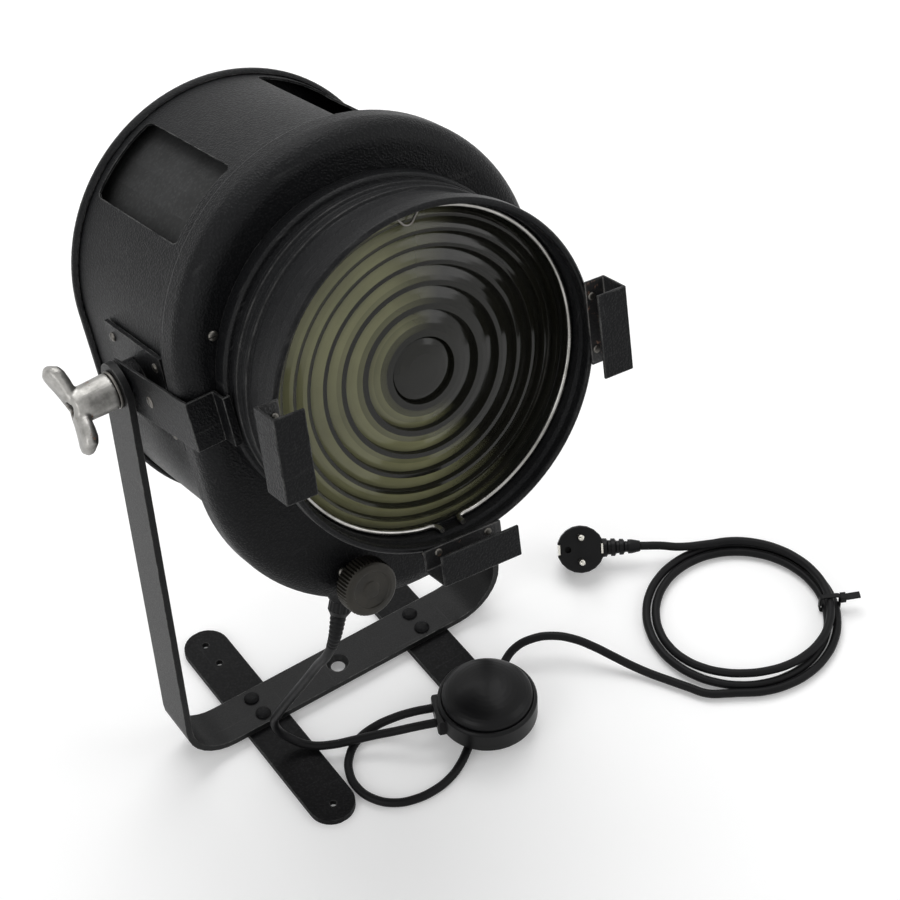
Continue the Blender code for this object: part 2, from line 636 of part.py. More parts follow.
def build_pivots(lamp):
    """On each side a plate, spacer, strap, washer and stud that carry the drum in the yoke."""
    plate_outline = [(PIVOT_PLATE_REAR, PIVOT_PLATE_LOW), (PIVOT_PLATE_FRONT, PIVOT_PLATE_LOW),
                     (PIVOT_PLATE_FRONT, PIVOT_PLATE_HIGH), (PIVOT_PLATE_REAR, PIVOT_PLATE_HIGH)]
    for side, label in ((-1, "left"), (1, "right")):
        outward = Vector((side, 0, 0))
        bore_data = bores("stud_bore_" + label, [((0, 0, 0), STUD_HOLE, DRUM_RADIUS - 9 * MM,
                                                  ARM_OUTER + 30 * MM)], outward)
        bore = cutter("stud_bore_" + label, bore_data, lamp)
        mesh = prism("pivot_plate_" + label, along_x(plate_outline, side * PLATE_INNER),
                     outward * PIVOT_PLATE_SHEET)
        cut(place("pivot_plate_" + label, mesh, "black_crackle", lamp), bore)
        spacer = [(STUD_HOLE, PLATE_OUTER + GAP), (SPACER_RADIUS, PLATE_OUTER + GAP),
                  (SPACER_RADIUS, STRAP_INNER - GAP), (STUD_HOLE, STRAP_INNER - GAP)]
        mesh = turned("pivot_spacer_" + label, spacer, STEPS_SMALL, True, outward)
        place("pivot_spacer_" + label, mesh, "black_crackle", lamp)
        cut(build_strap(lamp, side, label), bore)
        head = DRUM_RADIUS - SHEET - GAP
        tip = ARM_OUTER + KNOB_HUB_LENGTH if side < 0 else ARM_OUTER + NUT_HEIGHT + 6 * MM
        stud = [(0, head - STUD_HEAD_DEPTH), (STUD_HEAD_RADIUS, head - STUD_HEAD_DEPTH),
                (STUD_HEAD_RADIUS, head), (STUD_RADIUS, head), (STUD_RADIUS, tip - 1 * MM),
                (STUD_RADIUS - 1 * MM, tip), (0, tip)]
        mesh = turned("pivot_stud_" + label, stud, STEPS_SMALL, False, outward)
        place("pivot_stud_" + label, mesh, "plated_steel", lamp)


def build_strap(lamp, side, label):
    """Strap from the pivot along the drum's side, folded round the shoulder to hold the barrel."""
    half, sheet = STRAP_WIDTH / 2, STRAP_SHEET
    rise = LENS_RISE
    face = SHOULDER_FACE + GAP
    flange_front = SHOULDER_FACE + GAP + FLANGE_DEPTH + GAP
    wall = FLANGE_RADIUS + GAP
    grip = FLANGE_RADIUS - 3 * MM
    sections = [((STRAP_INNER, -offset), (STRAP_OUTER, -offset), 0, width)
                for offset, width in end_profile()]
    sections += [((STRAP_INNER, 60 * MM), (STRAP_OUTER, 60 * MM), rise * 0.6, half),
                 ((STRAP_INNER, face), (STRAP_OUTER, face + sheet), rise, half),
                 ((wall, face), (wall + sheet, face + sheet), rise, half),
                 ((wall, flange_front), (wall + sheet, flange_front + sheet), rise, half),
                 ((grip, flange_front), (grip, flange_front + sheet), rise, half)]
    rings = []
    for (x1, a1), (x2, a2), up, width in sections:
        rings.append([Vector((side * x1, -a1, up - width)), Vector((side * x1, -a1, up + width)),
                      Vector((side * x2, -a2, up + width)), Vector((side * x2, -a2, up - width))])
    return place("catch_strap_" + label, loft("catch_strap_" + label, rings), "black_crackle", lamp)


def build_clamp(root, knob_axis, lamp):
    """Outside the arms: a washer and wing knob on the left, a washer and nut on the right."""
    start = ARM_OUTER + GAP
    ring = [(STUD_HOLE, start), (WASHER_RADIUS, start), (WASHER_RADIUS, start + WASHER_THICK),
            (STUD_HOLE, start + WASHER_THICK)]
    for side, label in ((-1, "left"), (1, "right")):
        mesh = turned("washer_" + label, ring, STEPS_SMALL, True, Vector((side, 0, 0)))
        place("washer_" + label, mesh, "plated_steel", root, (0, 0, PIVOT_HEIGHT))
    inside_start = STRAP_OUTER + GAP
    inside_end = ARM_INNER - GAP
    inner_ring = [(STUD_HOLE, inside_start), (WASHER_RADIUS, inside_start),
                  (WASHER_RADIUS, inside_end), (STUD_HOLE, inside_end)]
    for side, label in ((-1, "left"), (1, "right")):
        mesh = turned("inner_washer_" + label, inner_ring, STEPS_SMALL, True, Vector((side, 0, 0)))
        place("inner_washer_" + label, mesh, "black_crackle", lamp)
    seat = start + WASHER_THICK + GAP
    corner = NUT_FLATS / 2 / math.cos(math.pi / 6)
    outline = [(corner * math.cos(math.radians(60 * i)), corner * math.sin(math.radians(60 * i)))
               for i in range(6)]
    nut = place("pivot_nut", prism("pivot_nut", along_x(outline, seat), (NUT_HEIGHT, 0, 0)),
                "plated_steel", lamp)
    nut_bore = bores("nut_bore", [((0, 0, 0), STUD_HOLE, seat - 2 * MM, seat + NUT_HEIGHT + 2 * MM)],
                     (1, 0, 0))
    cut(nut, cutter("nut_bore", nut_bore, lamp))
    build_wing_knob(knob_axis, seat)


def build_wing_knob(knob_axis, seat):
    """Cast knob: a round hub and two wings that swell to rounded lobes."""
    hub_end = seat + KNOB_HUB_LENGTH
    hub = [(0, seat), (KNOB_HUB_RADIUS, seat), (KNOB_HUB_RADIUS - 0.6 * MM, hub_end),
           (KNOB_HUB_RADIUS - 2.2 * MM, hub_end + KNOB_WING_DEPTH * 0.55),
           (0, hub_end + KNOB_WING_DEPTH * 0.55)]
    knob = place("tilt_knob", turned("tilt_knob", hub, STEPS_SMALL, False, Vector((-1, 0, 0))),
                 "cast_alloy", knob_axis)
    rings = []
    half_span = KNOB_WING_SPAN / 2
    stations = 16
    for i in range(stations + 1):
        along = -half_span + KNOB_WING_SPAN * i / stations
        share = abs(along) / half_span
        swell = math.sqrt(max(0.0, 1 - max(0.0, (share - 0.72) / 0.28) ** 2.4))
        waist = 0.66 + 0.34 * (0.5 - 0.5 * math.cos(math.pi * min(1.0, share / 0.72)))
        width = 11.5 * MM * waist * max(swell, 0.22)
        depth = KNOB_WING_DEPTH / 2 * (0.72 + 0.28 * share) * max(swell, 0.3)
        back = seat + KNOB_HUB_LENGTH * 0.93 + KNOB_WING_DEPTH / 2 + 5 * MM * share ** 2
        ring = []
        for k in range(12):
            angle = 2 * math.pi * k / 12
            across = width * math.copysign(abs(math.cos(angle)) ** 0.75, math.cos(angle))
            out = depth * math.copysign(abs(math.sin(angle)) ** 0.75, math.sin(angle))
            ring.append(Vector((-(back + out), across, along)))
        rings.append(ring)
    wings = loft("knob_wings", rings, sharp=60)
    cut(knob, cutter("knob_wings", wings, knob_axis, rotation=(KNOB_WING_TILT, 0, 0)), "UNION")
    bore = bores("knob_bore", [((0, 0, 0), STUD_HOLE, seat - 2 * MM, hub_end + 3 * KNOB_WING_DEPTH)],
                 (-1, 0, 0))
    cut(knob, cutter("knob_bore", bore, knob_axis))
    return knob


def build_barrel(barrel_axis):
    """Ribbed barrel that turns in the front plate, with the lens seat and rim inside its front."""
    seat = SHOULDER_FACE + GAP
    back = BARREL_BACK
    spigot = BARREL_SPIGOT
    flange_front = seat + FLANGE_DEPTH
    body = LENS_RADIUS + BARREL_WALL_STEP
    rib = LENS_RADIUS + RIB_STEP
    outer = [(spigot, back), (spigot, seat), (FLANGE_RADIUS, seat), (FLANGE_RADIUS, flange_front - 3 * MM),
             (FLANGE_RADIUS - 1 * MM, flange_front), (body, flange_front)]
    for i in range(RIB_COUNT):
        start = SHOULDER_FACE + RIB_AHEAD + RIB_PITCH * i
        outer += [(body, start), (rib, start + RIB_SLOPE), (rib, start + RIB_SLOPE + RIB_WIDTH),
                  (body, start + 2 * RIB_SLOPE + RIB_WIDTH)]
    outer += [(body, RIM_FRONT - 30 * MM), (rib, RIM_FRONT - 28 * MM), (rib, RIM_FRONT - 16 * MM),
              (RIM_RADIUS, RIM_FRONT - 10 * MM), (RIM_RADIUS, RIM_FRONT - 1.5 * MM),
              (RIM_RADIUS - 1.5 * MM, RIM_FRONT)]
    wire_bore = LENS_RADIUS + WIRE_RADIUS + 0.4 * MM
    pocket = LENS_RADIUS + GAP
    inner = [(RIM_RADIUS - 3.2 * MM, RIM_FRONT), (RIM_RADIUS - 4.2 * MM, RIM_FRONT - 1.5 * MM),
             (RIM_RADIUS - 4.2 * MM, RIM_FRONT - 6.5 * MM), (wire_bore, RIM_FRONT - 9.5 * MM),
             (wire_bore, LENS_FRONT + GAP), (pocket, LENS_FRONT + GAP), (pocket, LENS_REAR - GAP),
             (LENS_RADIUS - 6 * MM, LENS_REAR - GAP), (LENS_RADIUS - 6 * MM, LENS_REAR - 8 * MM),
             (LENS_RADIUS - 7.5 * MM, LENS_REAR - 10 * MM), (LENS_RADIUS - 7.5 * MM, back + 2 * MM),
             (LENS_RADIUS - 6.5 * MM, back)]
    mesh = turned("lens_barrel", outer + inner, STEPS_ROUND, True)
    return place("lens_barrel", mesh, "black_crackle", barrel_axis)


def build_lens(barrel_axis):
    """Stepped lens: a flat back, a domed middle and zones that each rise in a sharp step."""
    zones = [LENS_RADIUS * share for share in LENS_ZONE_SHARES]
    low = LENS_FRONT - LENS_GROOVE
    profile = [(0, LENS_REAR), (LENS_RADIUS, LENS_REAR), (LENS_RADIUS, LENS_FRONT - 1 * MM)]
    for outer_edge, inner_edge in zip(zones[::-1], zones[-2::-1]):
        profile += [(outer_edge, low), (inner_edge + 0.5 * MM, LENS_FRONT)]
    profile += [(zones[0], low), (zones[0] * 0.7, low + LENS_GROOVE * 0.55),
                (zones[0] * 0.35, LENS_FRONT - 0.4 * MM), (0, LENS_FRONT)]
    mesh = turned("fresnel_lens", profile, STEPS_ROUND, False, sharp=20)
    return place("fresnel_lens", mesh, "lens_glass", barrel_axis)


def build_lens_wires(barrel_axis):
    """The sprung wire ring with its two bent posts, and the V clip at the top."""
    along = LENS_FRONT + GAP + WIRE_RADIUS
    half = WIRE_GAP / 2
    start = -math.pi / 2 + half
    steps = STEPS_ROUND
    points = []
    for i in range(steps + 1):
        angle = start + (2 * math.pi - WIRE_GAP) * i / steps
        points.append(Vector((LENS_RADIUS * math.cos(angle), -along, LENS_RADIUS * math.sin(angle))))
    for index, neighbour in ((0, 1), (-1, -2)):
        tip = points[index]
        onward = (tip - points[neighbour]).normalized() * MM
        post = [tip + onward * 1.6 + Vector((0, -1.4 * MM, 0)),
                tip + onward * 2.4 + Vector((0, -WIRE_POST, 0))]
        points = (post[::-1] + points) if index == 0 else (points + post)
    tube("lens_wire_ring", points, WIRE_RADIUS, 1, "spring_steel", barrel_axis)
    clip_at = along + WIRE_RADIUS + CLIP_WIRE + GAP
    foot = LENS_RADIUS + WIRE_RADIUS - CLIP_WIRE - 0.6 * MM
    shape = [(-12, -1.4), (-9, -0.6), (-5.5, -3.6), (-2, -7.4), (2, -7.4), (5.5, -3.6), (9, -0.6),
             (12, -1.4)]
    clip = [Vector((x * MM, -clip_at, foot + drop * MM)) for x, drop in shape]
    tube("lens_clip", clip, CLIP_WIRE, 1, "plated_steel", barrel_axis)


def build_channels(barrel_axis):
    """Three channels on the rim's face, left, right and below, for a colour frame."""
    sheet, reach = CHANNEL_SHEET, CHANNEL_REACH
    rear = RIM_FRONT + GAP
    front = rear + CHANNEL_DEPTH
    section = [(reach, rear), (reach, front), (reach - CHANNEL_FRONT_LIP, front),
               (reach - CHANNEL_FRONT_LIP, front - sheet), (reach - sheet, front - sheet),
               (reach - sheet, rear + sheet), (reach - CHANNEL_REAR_LIP, rear + sheet),
               (reach - CHANNEL_REAR_LIP, rear)]
    for label, turn in (("right", 0), ("bottom", 90), ("left", 180)):
        outline = [Vector((across, -ahead, -CHANNEL_LENGTH / 2)) for across, ahead in section]
        mesh = prism("frame_channel_" + label, outline, (0, 0, CHANNEL_LENGTH))
        channel = place("frame_channel_" + label, mesh, "black_crackle", barrel_axis,
                        rotation=(0, math.radians(turn), 0))
        edge = channel.modifiers.new("edge", "BEVEL")
        edge.width = 0.5 * MM
        edge.segments = 1


def build_focus(focus_axis):
    """Gripped knob on a screw spindle that runs back through the carriage."""
    back = FOCUS_BOSS_FACE + GAP
    front = back + FOCUS_KNOB_DEPTH
    rings = []
    for radius, along in ((0.86, back), (1, back + 1.5 * MM), (1, front - 2.5 * MM),
                          (0.93, front - 0.8 * MM),
                          (0.84, front)):
        ring = []
        for i in range(2 * FOCUS_KNOB_GRIPS):
            angle = math.pi * i / FOCUS_KNOB_GRIPS
            spoke = FOCUS_KNOB_RADIUS * radius - (i % 2) * 0.7 * MM
            ring.append(Vector((spoke * math.cos(angle), -along, spoke * math.sin(angle))))
        rings.append(ring)
    knob = place("focus_knob", loft("focus_knob", rings, sharp=25), "turned_brass", focus_axis)
    seat = bores("spindle_seat", [((0, 0, 0), SPINDLE_RADIUS + GAP, back - 2 * MM, front - 4 * MM)],
                 (0, -1, 0))
    cut(knob, cutter("spindle_seat", seat, focus_axis))
    rear = REAR_INSIDE + SHEET
    profile = [(0, rear), (SPINDLE_RADIUS, rear), (SPINDLE_RADIUS, front - 4 * MM - GAP),
               (0, front - 4 * MM - GAP)]
    place("focus_spindle", turned("focus_spindle", profile, STEPS_TINY, False), "plated_steel", focus_axis)


def build_carriage(lamp, carriage_axis):
    """Slide rails, and the carriage with its lampholder, lamp and mirror."""
    rail_rear = REAR_PANEL_INSIDE + GAP
    for side, label in ((-1, "left"), (1, "right")):
        profile = [(0, rail_rear), (RAIL_RADIUS, rail_rear), (RAIL_RADIUS, SHOULDER_INSIDE - GAP),
                   (0, SHOULDER_INSIDE - GAP)]
        mesh = turned("slide_rail_" + label, profile, 16, False)
        place("slide_rail_" + label, mesh, "plated_steel", lamp, (side * RAIL_X, 0, RAIL_Z))
    top = CARRIAGE_TOP
    under = top - CARRIAGE_SHEET
    lug = RAIL_RADIUS + 5 * MM
    outline = [(-CARRIAGE_HALF, top), (-CARRIAGE_HALF, under), (FOCUS_X - 5 * MM, under),
               (FOCUS_X - 5 * MM, FOCUS_Z - 1 * MM),
               (FOCUS_X + 2 * MM, FOCUS_Z - 5 * MM), (FOCUS_X + 8 * MM, FOCUS_Z - 5 * MM),
               (-RAIL_X + lug, RAIL_Z - lug), (-RAIL_X + lug, under), (RAIL_X - lug, under),
               (RAIL_X - lug, RAIL_Z - lug), (RAIL_X + lug, RAIL_Z - lug), (RAIL_X + lug, under),
               (CARRIAGE_HALF, under), (CARRIAGE_HALF, top)]
    points = [Vector((x, -CARRIAGE_REAR, z)) for x, z in outline]
    mesh = prism("lamp_carriage", points, (0, -(CARRIAGE_FRONT - CARRIAGE_REAR), 0))
    carriage = place("lamp_carriage", mesh, "inner_sheet", carriage_axis)
    through = (CARRIAGE_REAR - 5 * MM, CARRIAGE_FRONT + 5 * MM)
    holes = [((side * RAIL_X, 0, RAIL_Z), RAIL_RADIUS + GAP, *through) for side in (-1, 1)]
    holes.append(((FOCUS_X, 0, FOCUS_Z), SPINDLE_RADIUS + GAP, *through))
    tool = bores("carriage_bores", holes, (0, -1, 0), STEPS_TINY)
    cut(carriage, cutter("carriage_bores", tool, carriage_axis))
    up = Vector((0, 0, 1))
    lamp_at = (0, -BULB_AHEAD, 0)
    base = top + GAP
    holder_top = base + HOLDER_HEIGHT
    socket = 14 * MM
    holder = [(0, base), (HOLDER_RADIUS, base), (HOLDER_RADIUS, base + 8 * MM),
              (HOLDER_RADIUS - 3 * MM, base + 10 * MM),
              (HOLDER_RADIUS - 3 * MM, holder_top), (socket, holder_top), (socket, base + 12 * MM),
              (0, base + 12 * MM)]
    place("lampholder", turned("lampholder", holder, STEPS_SMALL, False, up), "ceramic",
          carriage_axis, lamp_at)
    foot = base + 12 * MM + GAP
    neck = socket - GAP
    bulb = [(0, foot), (neck - 1 * MM, foot), (neck, foot + 1 * MM), (neck, holder_top + 6 * MM),
            (BULB_RADIUS * 0.8, holder_top + 16 * MM), (BULB_RADIUS, holder_top + 26 * MM),
            (BULB_RADIUS, BULB_TOP - 16 * MM), (BULB_RADIUS * 0.86, BULB_TOP - 7 * MM),
            (BULB_RADIUS * 0.5, BULB_TOP - 1.5 * MM), (0, BULB_TOP)]
    place("bulb", turned("bulb", bulb, STEPS_SMALL, False, up), "lamp_glass", carriage_axis, lamp_at)
    steps = 6
    turns = [MIRROR_OPENING * i / steps for i in range(steps + 1)]
    back = MIRROR_RADIUS + MIRROR_THICK
    profile = [(back * math.sin(t), -back * math.cos(t)) for t in turns]
    profile += [(MIRROR_RADIUS * math.sin(t), -MIRROR_RADIUS * math.cos(t)) for t in reversed(turns)]
    mirror = turned("mirror", profile, STEPS_SMALL, False)
    place("mirror", mirror, "mirror_metal", carriage_axis, (0, -BULB_AHEAD, MIRROR_HEIGHT))
    contact = 54.8 * MM
    reach = math.sqrt((MIRROR_RADIUS + MIRROR_THICK) ** 2 - contact ** 2)
    post_front = BULB_AHEAD - reach - GAP
    height = MIRROR_HEIGHT - contact - base
    post = [Vector((x, -post_front, base)) for x in (-10 * MM, 10 * MM)]
    post += [Vector((x, -(post_front - 2 * MM), base)) for x in (10 * MM, -10 * MM)]
    place("mirror_post", prism("mirror_post", post, (0, 0, height)), "inner_sheet", carriage_axis)


def gland_frame():
    """The gland's foot on the shoulder and its direction, in the lamp's frame."""
    outward = Vector((-math.sin(GLAND_ANGLE), 0, -math.cos(GLAND_ANGLE)))
    foot = Vector((0, -GLAND_AHEAD, DRUM_CENTRES[1])) + outward * (SHOULDER_RADIUS + GAP)
    return foot, outward


def build_gland(lamp):
    """Cord gland under the shoulder: a collar and a ribbed dome nut."""
    foot, outward = gland_frame()
    length, radius = GLAND_LENGTH, GLAND_RADIUS
    profile = [(0, 0.4 * MM), (radius, 0.4 * MM), (radius, length * 0.32), (radius * 0.86, length * 0.36),
               (radius * 0.86, length * 0.78), (radius * 0.62, length), (0, length)]
    mesh = turned("cord_gland", profile, STEPS_SMALL, False, Vector((0, 0, -1)))
    gland = place("cord_gland", mesh, "switch_plastic", lamp, foot)
    gland.rotation_euler = (0, GLAND_ANGLE, 0)


def lamp_point(point):
    """A point of the lamp's frame, in the stand's frame."""
    return Matrix.Translation((0, 0, PIVOT_HEIGHT)) @ Matrix.Rotation(-TILT_UP, 4, "X") @ point


def switch_frame():
    """The foot switch's facing, its sideways direction and its two cord entries."""
    facing = Vector((math.cos(SWITCH_FACING), math.sin(SWITCH_FACING), 0))
    across = Vector((math.cos(SWITCH_FACING - math.pi / 2), math.sin(SWITCH_FACING - math.pi / 2), 0))
    middle = Vector((*SWITCH_AT, SWITCH_LIFT + SWITCH_ENTRY_HEIGHT)) + facing * (SWITCH_BLOCK_REACH + GAP)
    half = across * SWITCH_ENTRY_SPACING / 2
    return facing, across, (middle - half, middle + half)


def build_switch(root, cap_axis):
    """Round foot switch: a base with a cord block on its side, and a domed cap that goes down."""
    rim = SWITCH_RADIUS
    cap_radius = rim - 3.4 * MM
    floor = SWITCH_BASE - 6 * MM
    profile = [(0, 0), (rim - 2 * MM, 0), (rim, 2 * MM), (rim, SWITCH_BASE - 2 * MM),
               (rim - 1.4 * MM, SWITCH_BASE),
               (cap_radius + GAP, SWITCH_BASE), (cap_radius + GAP, floor), (0, floor)]
    up = Vector((0, 0, 1))
    base = place("switch_base", turned("switch_base", profile, STEPS_ROUND, False, up),
                 "switch_plastic", root, (*SWITCH_AT, SWITCH_LIFT))
    facing, across, _ = switch_frame()
    half = across * (SWITCH_ENTRY_SPACING / 2 + 6.5 * MM)
    start = facing * (cap_radius + 2 * GAP)
    outline = [start - half + up * 1.5 * MM, start + half + up * 1.5 * MM, start + half + up * 16 * MM,
               start - half + up * 16 * MM]
    block = prism("switch_block", outline, facing * SWITCH_BLOCK_REACH - start)
    cut(base, cutter("switch_block", block, root, (*SWITCH_AT, SWITCH_LIFT)), "UNION")
    bottom = floor + SWITCH_TRAVEL + 2 * GAP
    top = SWITCH_TOP
    dome = [(0, bottom), (cap_radius - 0.6 * MM, bottom), (cap_radius, bottom + 0.6 * MM),
            (cap_radius, SWITCH_BASE + 1 * MM)]
    dome += [(cap_radius * math.cos(math.radians(t)),
              SWITCH_BASE + 1 * MM + (top - SWITCH_BASE - 1 * MM) * math.sin(math.radians(t)))
             for t in (18, 36, 54, 72)]
    dome.append((0, top))
    place("switch_cap", turned("switch_cap", dome, STEPS_ROUND, False, up), "switch_plastic", cap_axis)


def ease(value, start, end):
    """A smooth step from 0 at start to 1 at end."""
    share = max(0.0, min(1.0, (value - start) / (end - start)))
    return share * share * (3 - 2 * share)


def coil_point(turn):
    """A point of the coil's centre line: two turns wound inward on the floor, the rest on top."""
    angle = COIL_START + 2 * math.pi * turn
    climb = ease(turn, 1.8, 2.08)
    radius = COIL_RADIUS - COIL_PITCH * min(turn, 1.95) + COIL_PITCH * 1.15 * ease(turn, 1.98, 2.35)
    height = COIL_LIFT + COIL_CLIMB * climb
    return Vector((COIL_AT[0] + radius * math.cos(angle), COIL_AT[1] + radius * math.sin(angle), height))


def coil_route():
    """The coil's points, with an end straight for one cord diameter at each end."""
    count = round(COIL_TURNS * COIL_STEPS)
    points = [coil_point(COIL_TURNS * i / count) for i in range(count + 1)]
    diameter = 2 * CORD_RADIUS
    first = (points[0] - points[1]).normalized() * diameter
    last = (points[-1] - points[-2]).normalized() * diameter
    return [points[0] + first] + points + [points[-1] + last]


def least_gap(points, radius, skip):
    """The least clear gap between stretches of a tube that are not neighbours."""
    fine = []
    for first, second in zip(points, points[1:]):
        fine += [first.lerp(second, i / 4) for i in range(4)]
    least = 1.0
    for i, point in enumerate(fine):
        for other in fine[i + skip:]:
            least = min(least, (point - other).length)
    return least - 2 * radius


def plug_frame():
    """The plug's face centre, the way its pins point and the way its cord leaves."""
    level = Vector((math.cos(PLUG_TURN), math.sin(PLUG_TURN), 0))
    pins = level * math.cos(PLUG_LEAN) + Vector((0, 0, math.sin(PLUG_LEAN)))
    away = Vector((0, 0, 1)).cross(level)
    return Vector(PLUG_FACE_AT), pins, away


def side_block(name, side, near, half, start, end, depth):
    """A block on one side of the plug, from its face backwards."""
    corners = [Vector((side * near, y, z)) for y, z in ((start, -half), (start, half), (end, half),
                                                        (end, -half))]
    return prism(name, corners, (side * depth, 0, 0))


def build_plug(root):
    """Round two-pin plug: its cord leaves sideways through a ribbed sleeve, with earth contacts."""
    face, pins, away = plug_frame()
    spin = Matrix((away, -pins, pins.cross(away))).transposed().to_euler()
    holder = empty("plug_place", root, face, spin)
    radius = PLUG_RADIUS
    profile = [(0, 0), (radius - 1 * MM, 0), (radius, -1 * MM), (radius, -9.5 * MM),
               (radius - 1.5 * MM, -11 * MM), (radius - 1.5 * MM, -19.5 * MM),
               (radius - 3.5 * MM, -23 * MM), (radius - 7 * MM, -PLUG_DEPTH), (0, -PLUG_DEPTH)]
    plug = place("plug_body", turned("plug_body", profile, STEPS_SMALL, False), "switch_plastic",
                 holder, rotation=(0, math.pi / STEPS_SMALL, 0))
    shell = radius + 2 * MM
    sleeve = [(0, radius / 2), (7.4 * MM, radius / 2), (7.4 * MM, shell)]
    rib_pitch = (PLUG_REACH - shell) / 4
    for i in range(3):
        start = shell + rib_pitch * (i + 0.2)
        reach = (7 - 0.7 * i) * MM
        sleeve += [(reach - 1.3 * MM, start), (reach - 1.3 * MM, start + rib_pitch * 0.3),
                   (reach, start + rib_pitch * 0.35), (reach, start + rib_pitch * 0.8)]
    sleeve += [(4.2 * MM, PLUG_REACH), (0, PLUG_REACH)]
    relief = turned("plug_sleeve", sleeve, STEPS_SMALL, False, Vector((1, 0, 0)))
    cut(plug, cutter("plug_sleeve", relief, holder, (0, PLUG_CORD_DEPTH, 0)), "UNION")
    sockets = [((0, 0, side * PIN_SPACING / 2), PIN_RADIUS + GAP, -8 * MM, 2 * MM)
               for side in (-1, 1)]
    sockets.append(((-10 * MM, 0, 0), 2.6 * MM, -12 * MM, 2 * MM))
    socket_data = bores("plug_sockets", sockets, (0, -1, 0), STEPS_TINY)
    cut(plug, cutter("plug_sockets", socket_data, holder))
    for number, (side, length) in enumerate(((-1, 16.5 * MM), (1, 4.8 * MM)), 1):
        slot = side_block(f"earth_slot_{number}", side, radius - 3 * MM, 4.3 * MM, -2 * MM,
                          length + 0.5 * MM, 8 * MM)
        cut(plug, cutter(f"earth_slot_{number}", slot, holder))
        strip = side_block(f"plug_earth_{number}", side, radius - 2.7 * MM, 4 * MM, 0.5 * MM,
                           length, 1.6 * MM)
        place(f"plug_earth_{number}", strip, "contact_metal", holder)
    pin = [(0, -7.6 * MM), (PIN_RADIUS, -7.6 * MM), (PIN_RADIUS, PIN_LENGTH - 1.6 * MM),
           (PIN_RADIUS * 0.72, PIN_LENGTH - 0.4 * MM), (0, PIN_LENGTH)]
    for number, side in enumerate((-1, 1), 1):
        mesh = turned(f"plug_pin_{number}", pin, STEPS_TINY, False)
        place(f"plug_pin_{number}", mesh, "contact_metal", holder, (0, 0, side * PIN_SPACING / 2))


def build_cords(root):
    """The cord's free stretches, its coil and the cable tie on the coil."""
    foot, outward = gland_frame()
    exit_point = lamp_point(foot + outward * (GLAND_LENGTH + GAP))
    exit_way = lamp_point(foot + outward * (GLAND_LENGTH + 16 * MM))
    facing, _, (second_entry, first_entry) = switch_frame()
    first_entry, second_entry = sorted((first_entry, second_entry), key=lambda entry: entry.y)
    to_switch = [(-72, -124, 192), (-72, -108, 165), (-73.5, -90, 132), (-76.5, -70, 95), (-78.5, -53.5, 64),
                 (-79, -43, 43), (-77.2, -40.2, 30.8), (-71.9, -42.2, 19.5), (-63.9, -48.2, 11.7),
                 (-55, -56.2, 8.9), (-40, -65, 9.8), (-22, -72.8, 11.8), (-4, -83, 15.5)]
    to_switch = [exit_point, exit_way] + [Vector(knot) * MM for knot in to_switch]
    to_switch += [first_entry + facing * 13 * MM, first_entry]
    tube("cord_to_lamp", smooth_route(to_switch, 2.4 * 2 * CORD_RADIUS), CORD_RADIUS, 2, "cord_rubber", root)
    coil = coil_route()
    gap = least_gap(coil, CORD_RADIUS, 40)
    print(f"coil: least gap to itself {gap / MM:.2f} mm")
    coil_start = coil[0] + (coil[0] - coil[1]).normalized() * GAP
    coil_end = coil[-1] + (coil[-1] - coil[-2]).normalized() * GAP
    under = BAR_THICK + CORD_RADIUS + GAP
    to_coil = [(4, -71.5, 14), (-8, -66.3, 8.4), (-21, -65.3, 4.6), (-33.5, -71.2, 3.5), (-43.5, -82.5, 3.4),
               (-48.6, -98, 3.4), (-45.8, -115, 3.4), (-35.5, -128.5, 3.4), (-17, -136.3, 3.4),
               (6, -135.9, 3.4), (24, -129, 4), (38, -120, 5.9), (52, -111, 8.3)]
    to_coil = [second_entry, second_entry + facing * 13 * MM] + [Vector(knot) * MM for knot in to_coil]
    to_coil += [Vector((x * MM, y * MM, under)) for x, y in ((68, -100.5), (81, -89.5), (93, -79.5))]
    high = [(105, -72.5, 11.5), (118, -70.5, 17), (133, -76, 21), (145.5, -85, 22), (156, -96, 20),
            (166, -110, 15.5), (176, -125, 9.5), (186.5, -142, 5.6), (198, -161.5, 4.85)]
    to_coil += [Vector(knot) * MM for knot in high]
    to_coil += [coil_start + (coil[0] - coil[1]).normalized() * 12 * MM, coil_start]
    tube("cord_to_coil", smooth_route(to_coil, 2.4 * 2 * CORD_RADIUS), CORD_RADIUS, 2, "cord_rubber", root)
    tube("cord_coil", coil, CORD_RADIUS, 1, "cord_rubber", root)
    face, pins, away = plug_frame()
    plug_end = face - pins * PLUG_CORD_DEPTH + away * (PLUG_REACH + GAP)
    way = (coil_end - coil[-2]).normalized()
    to_plug = [coil_end, coil_end + way * 10 * MM, plug_end + away * 9 * MM, plug_end]
    tube("cord_to_plug", smooth_route(to_plug, 2.2 * 2 * CORD_RADIUS), CORD_RADIUS, 2, "cord_rubber", root)
    build_tie(root, coil)


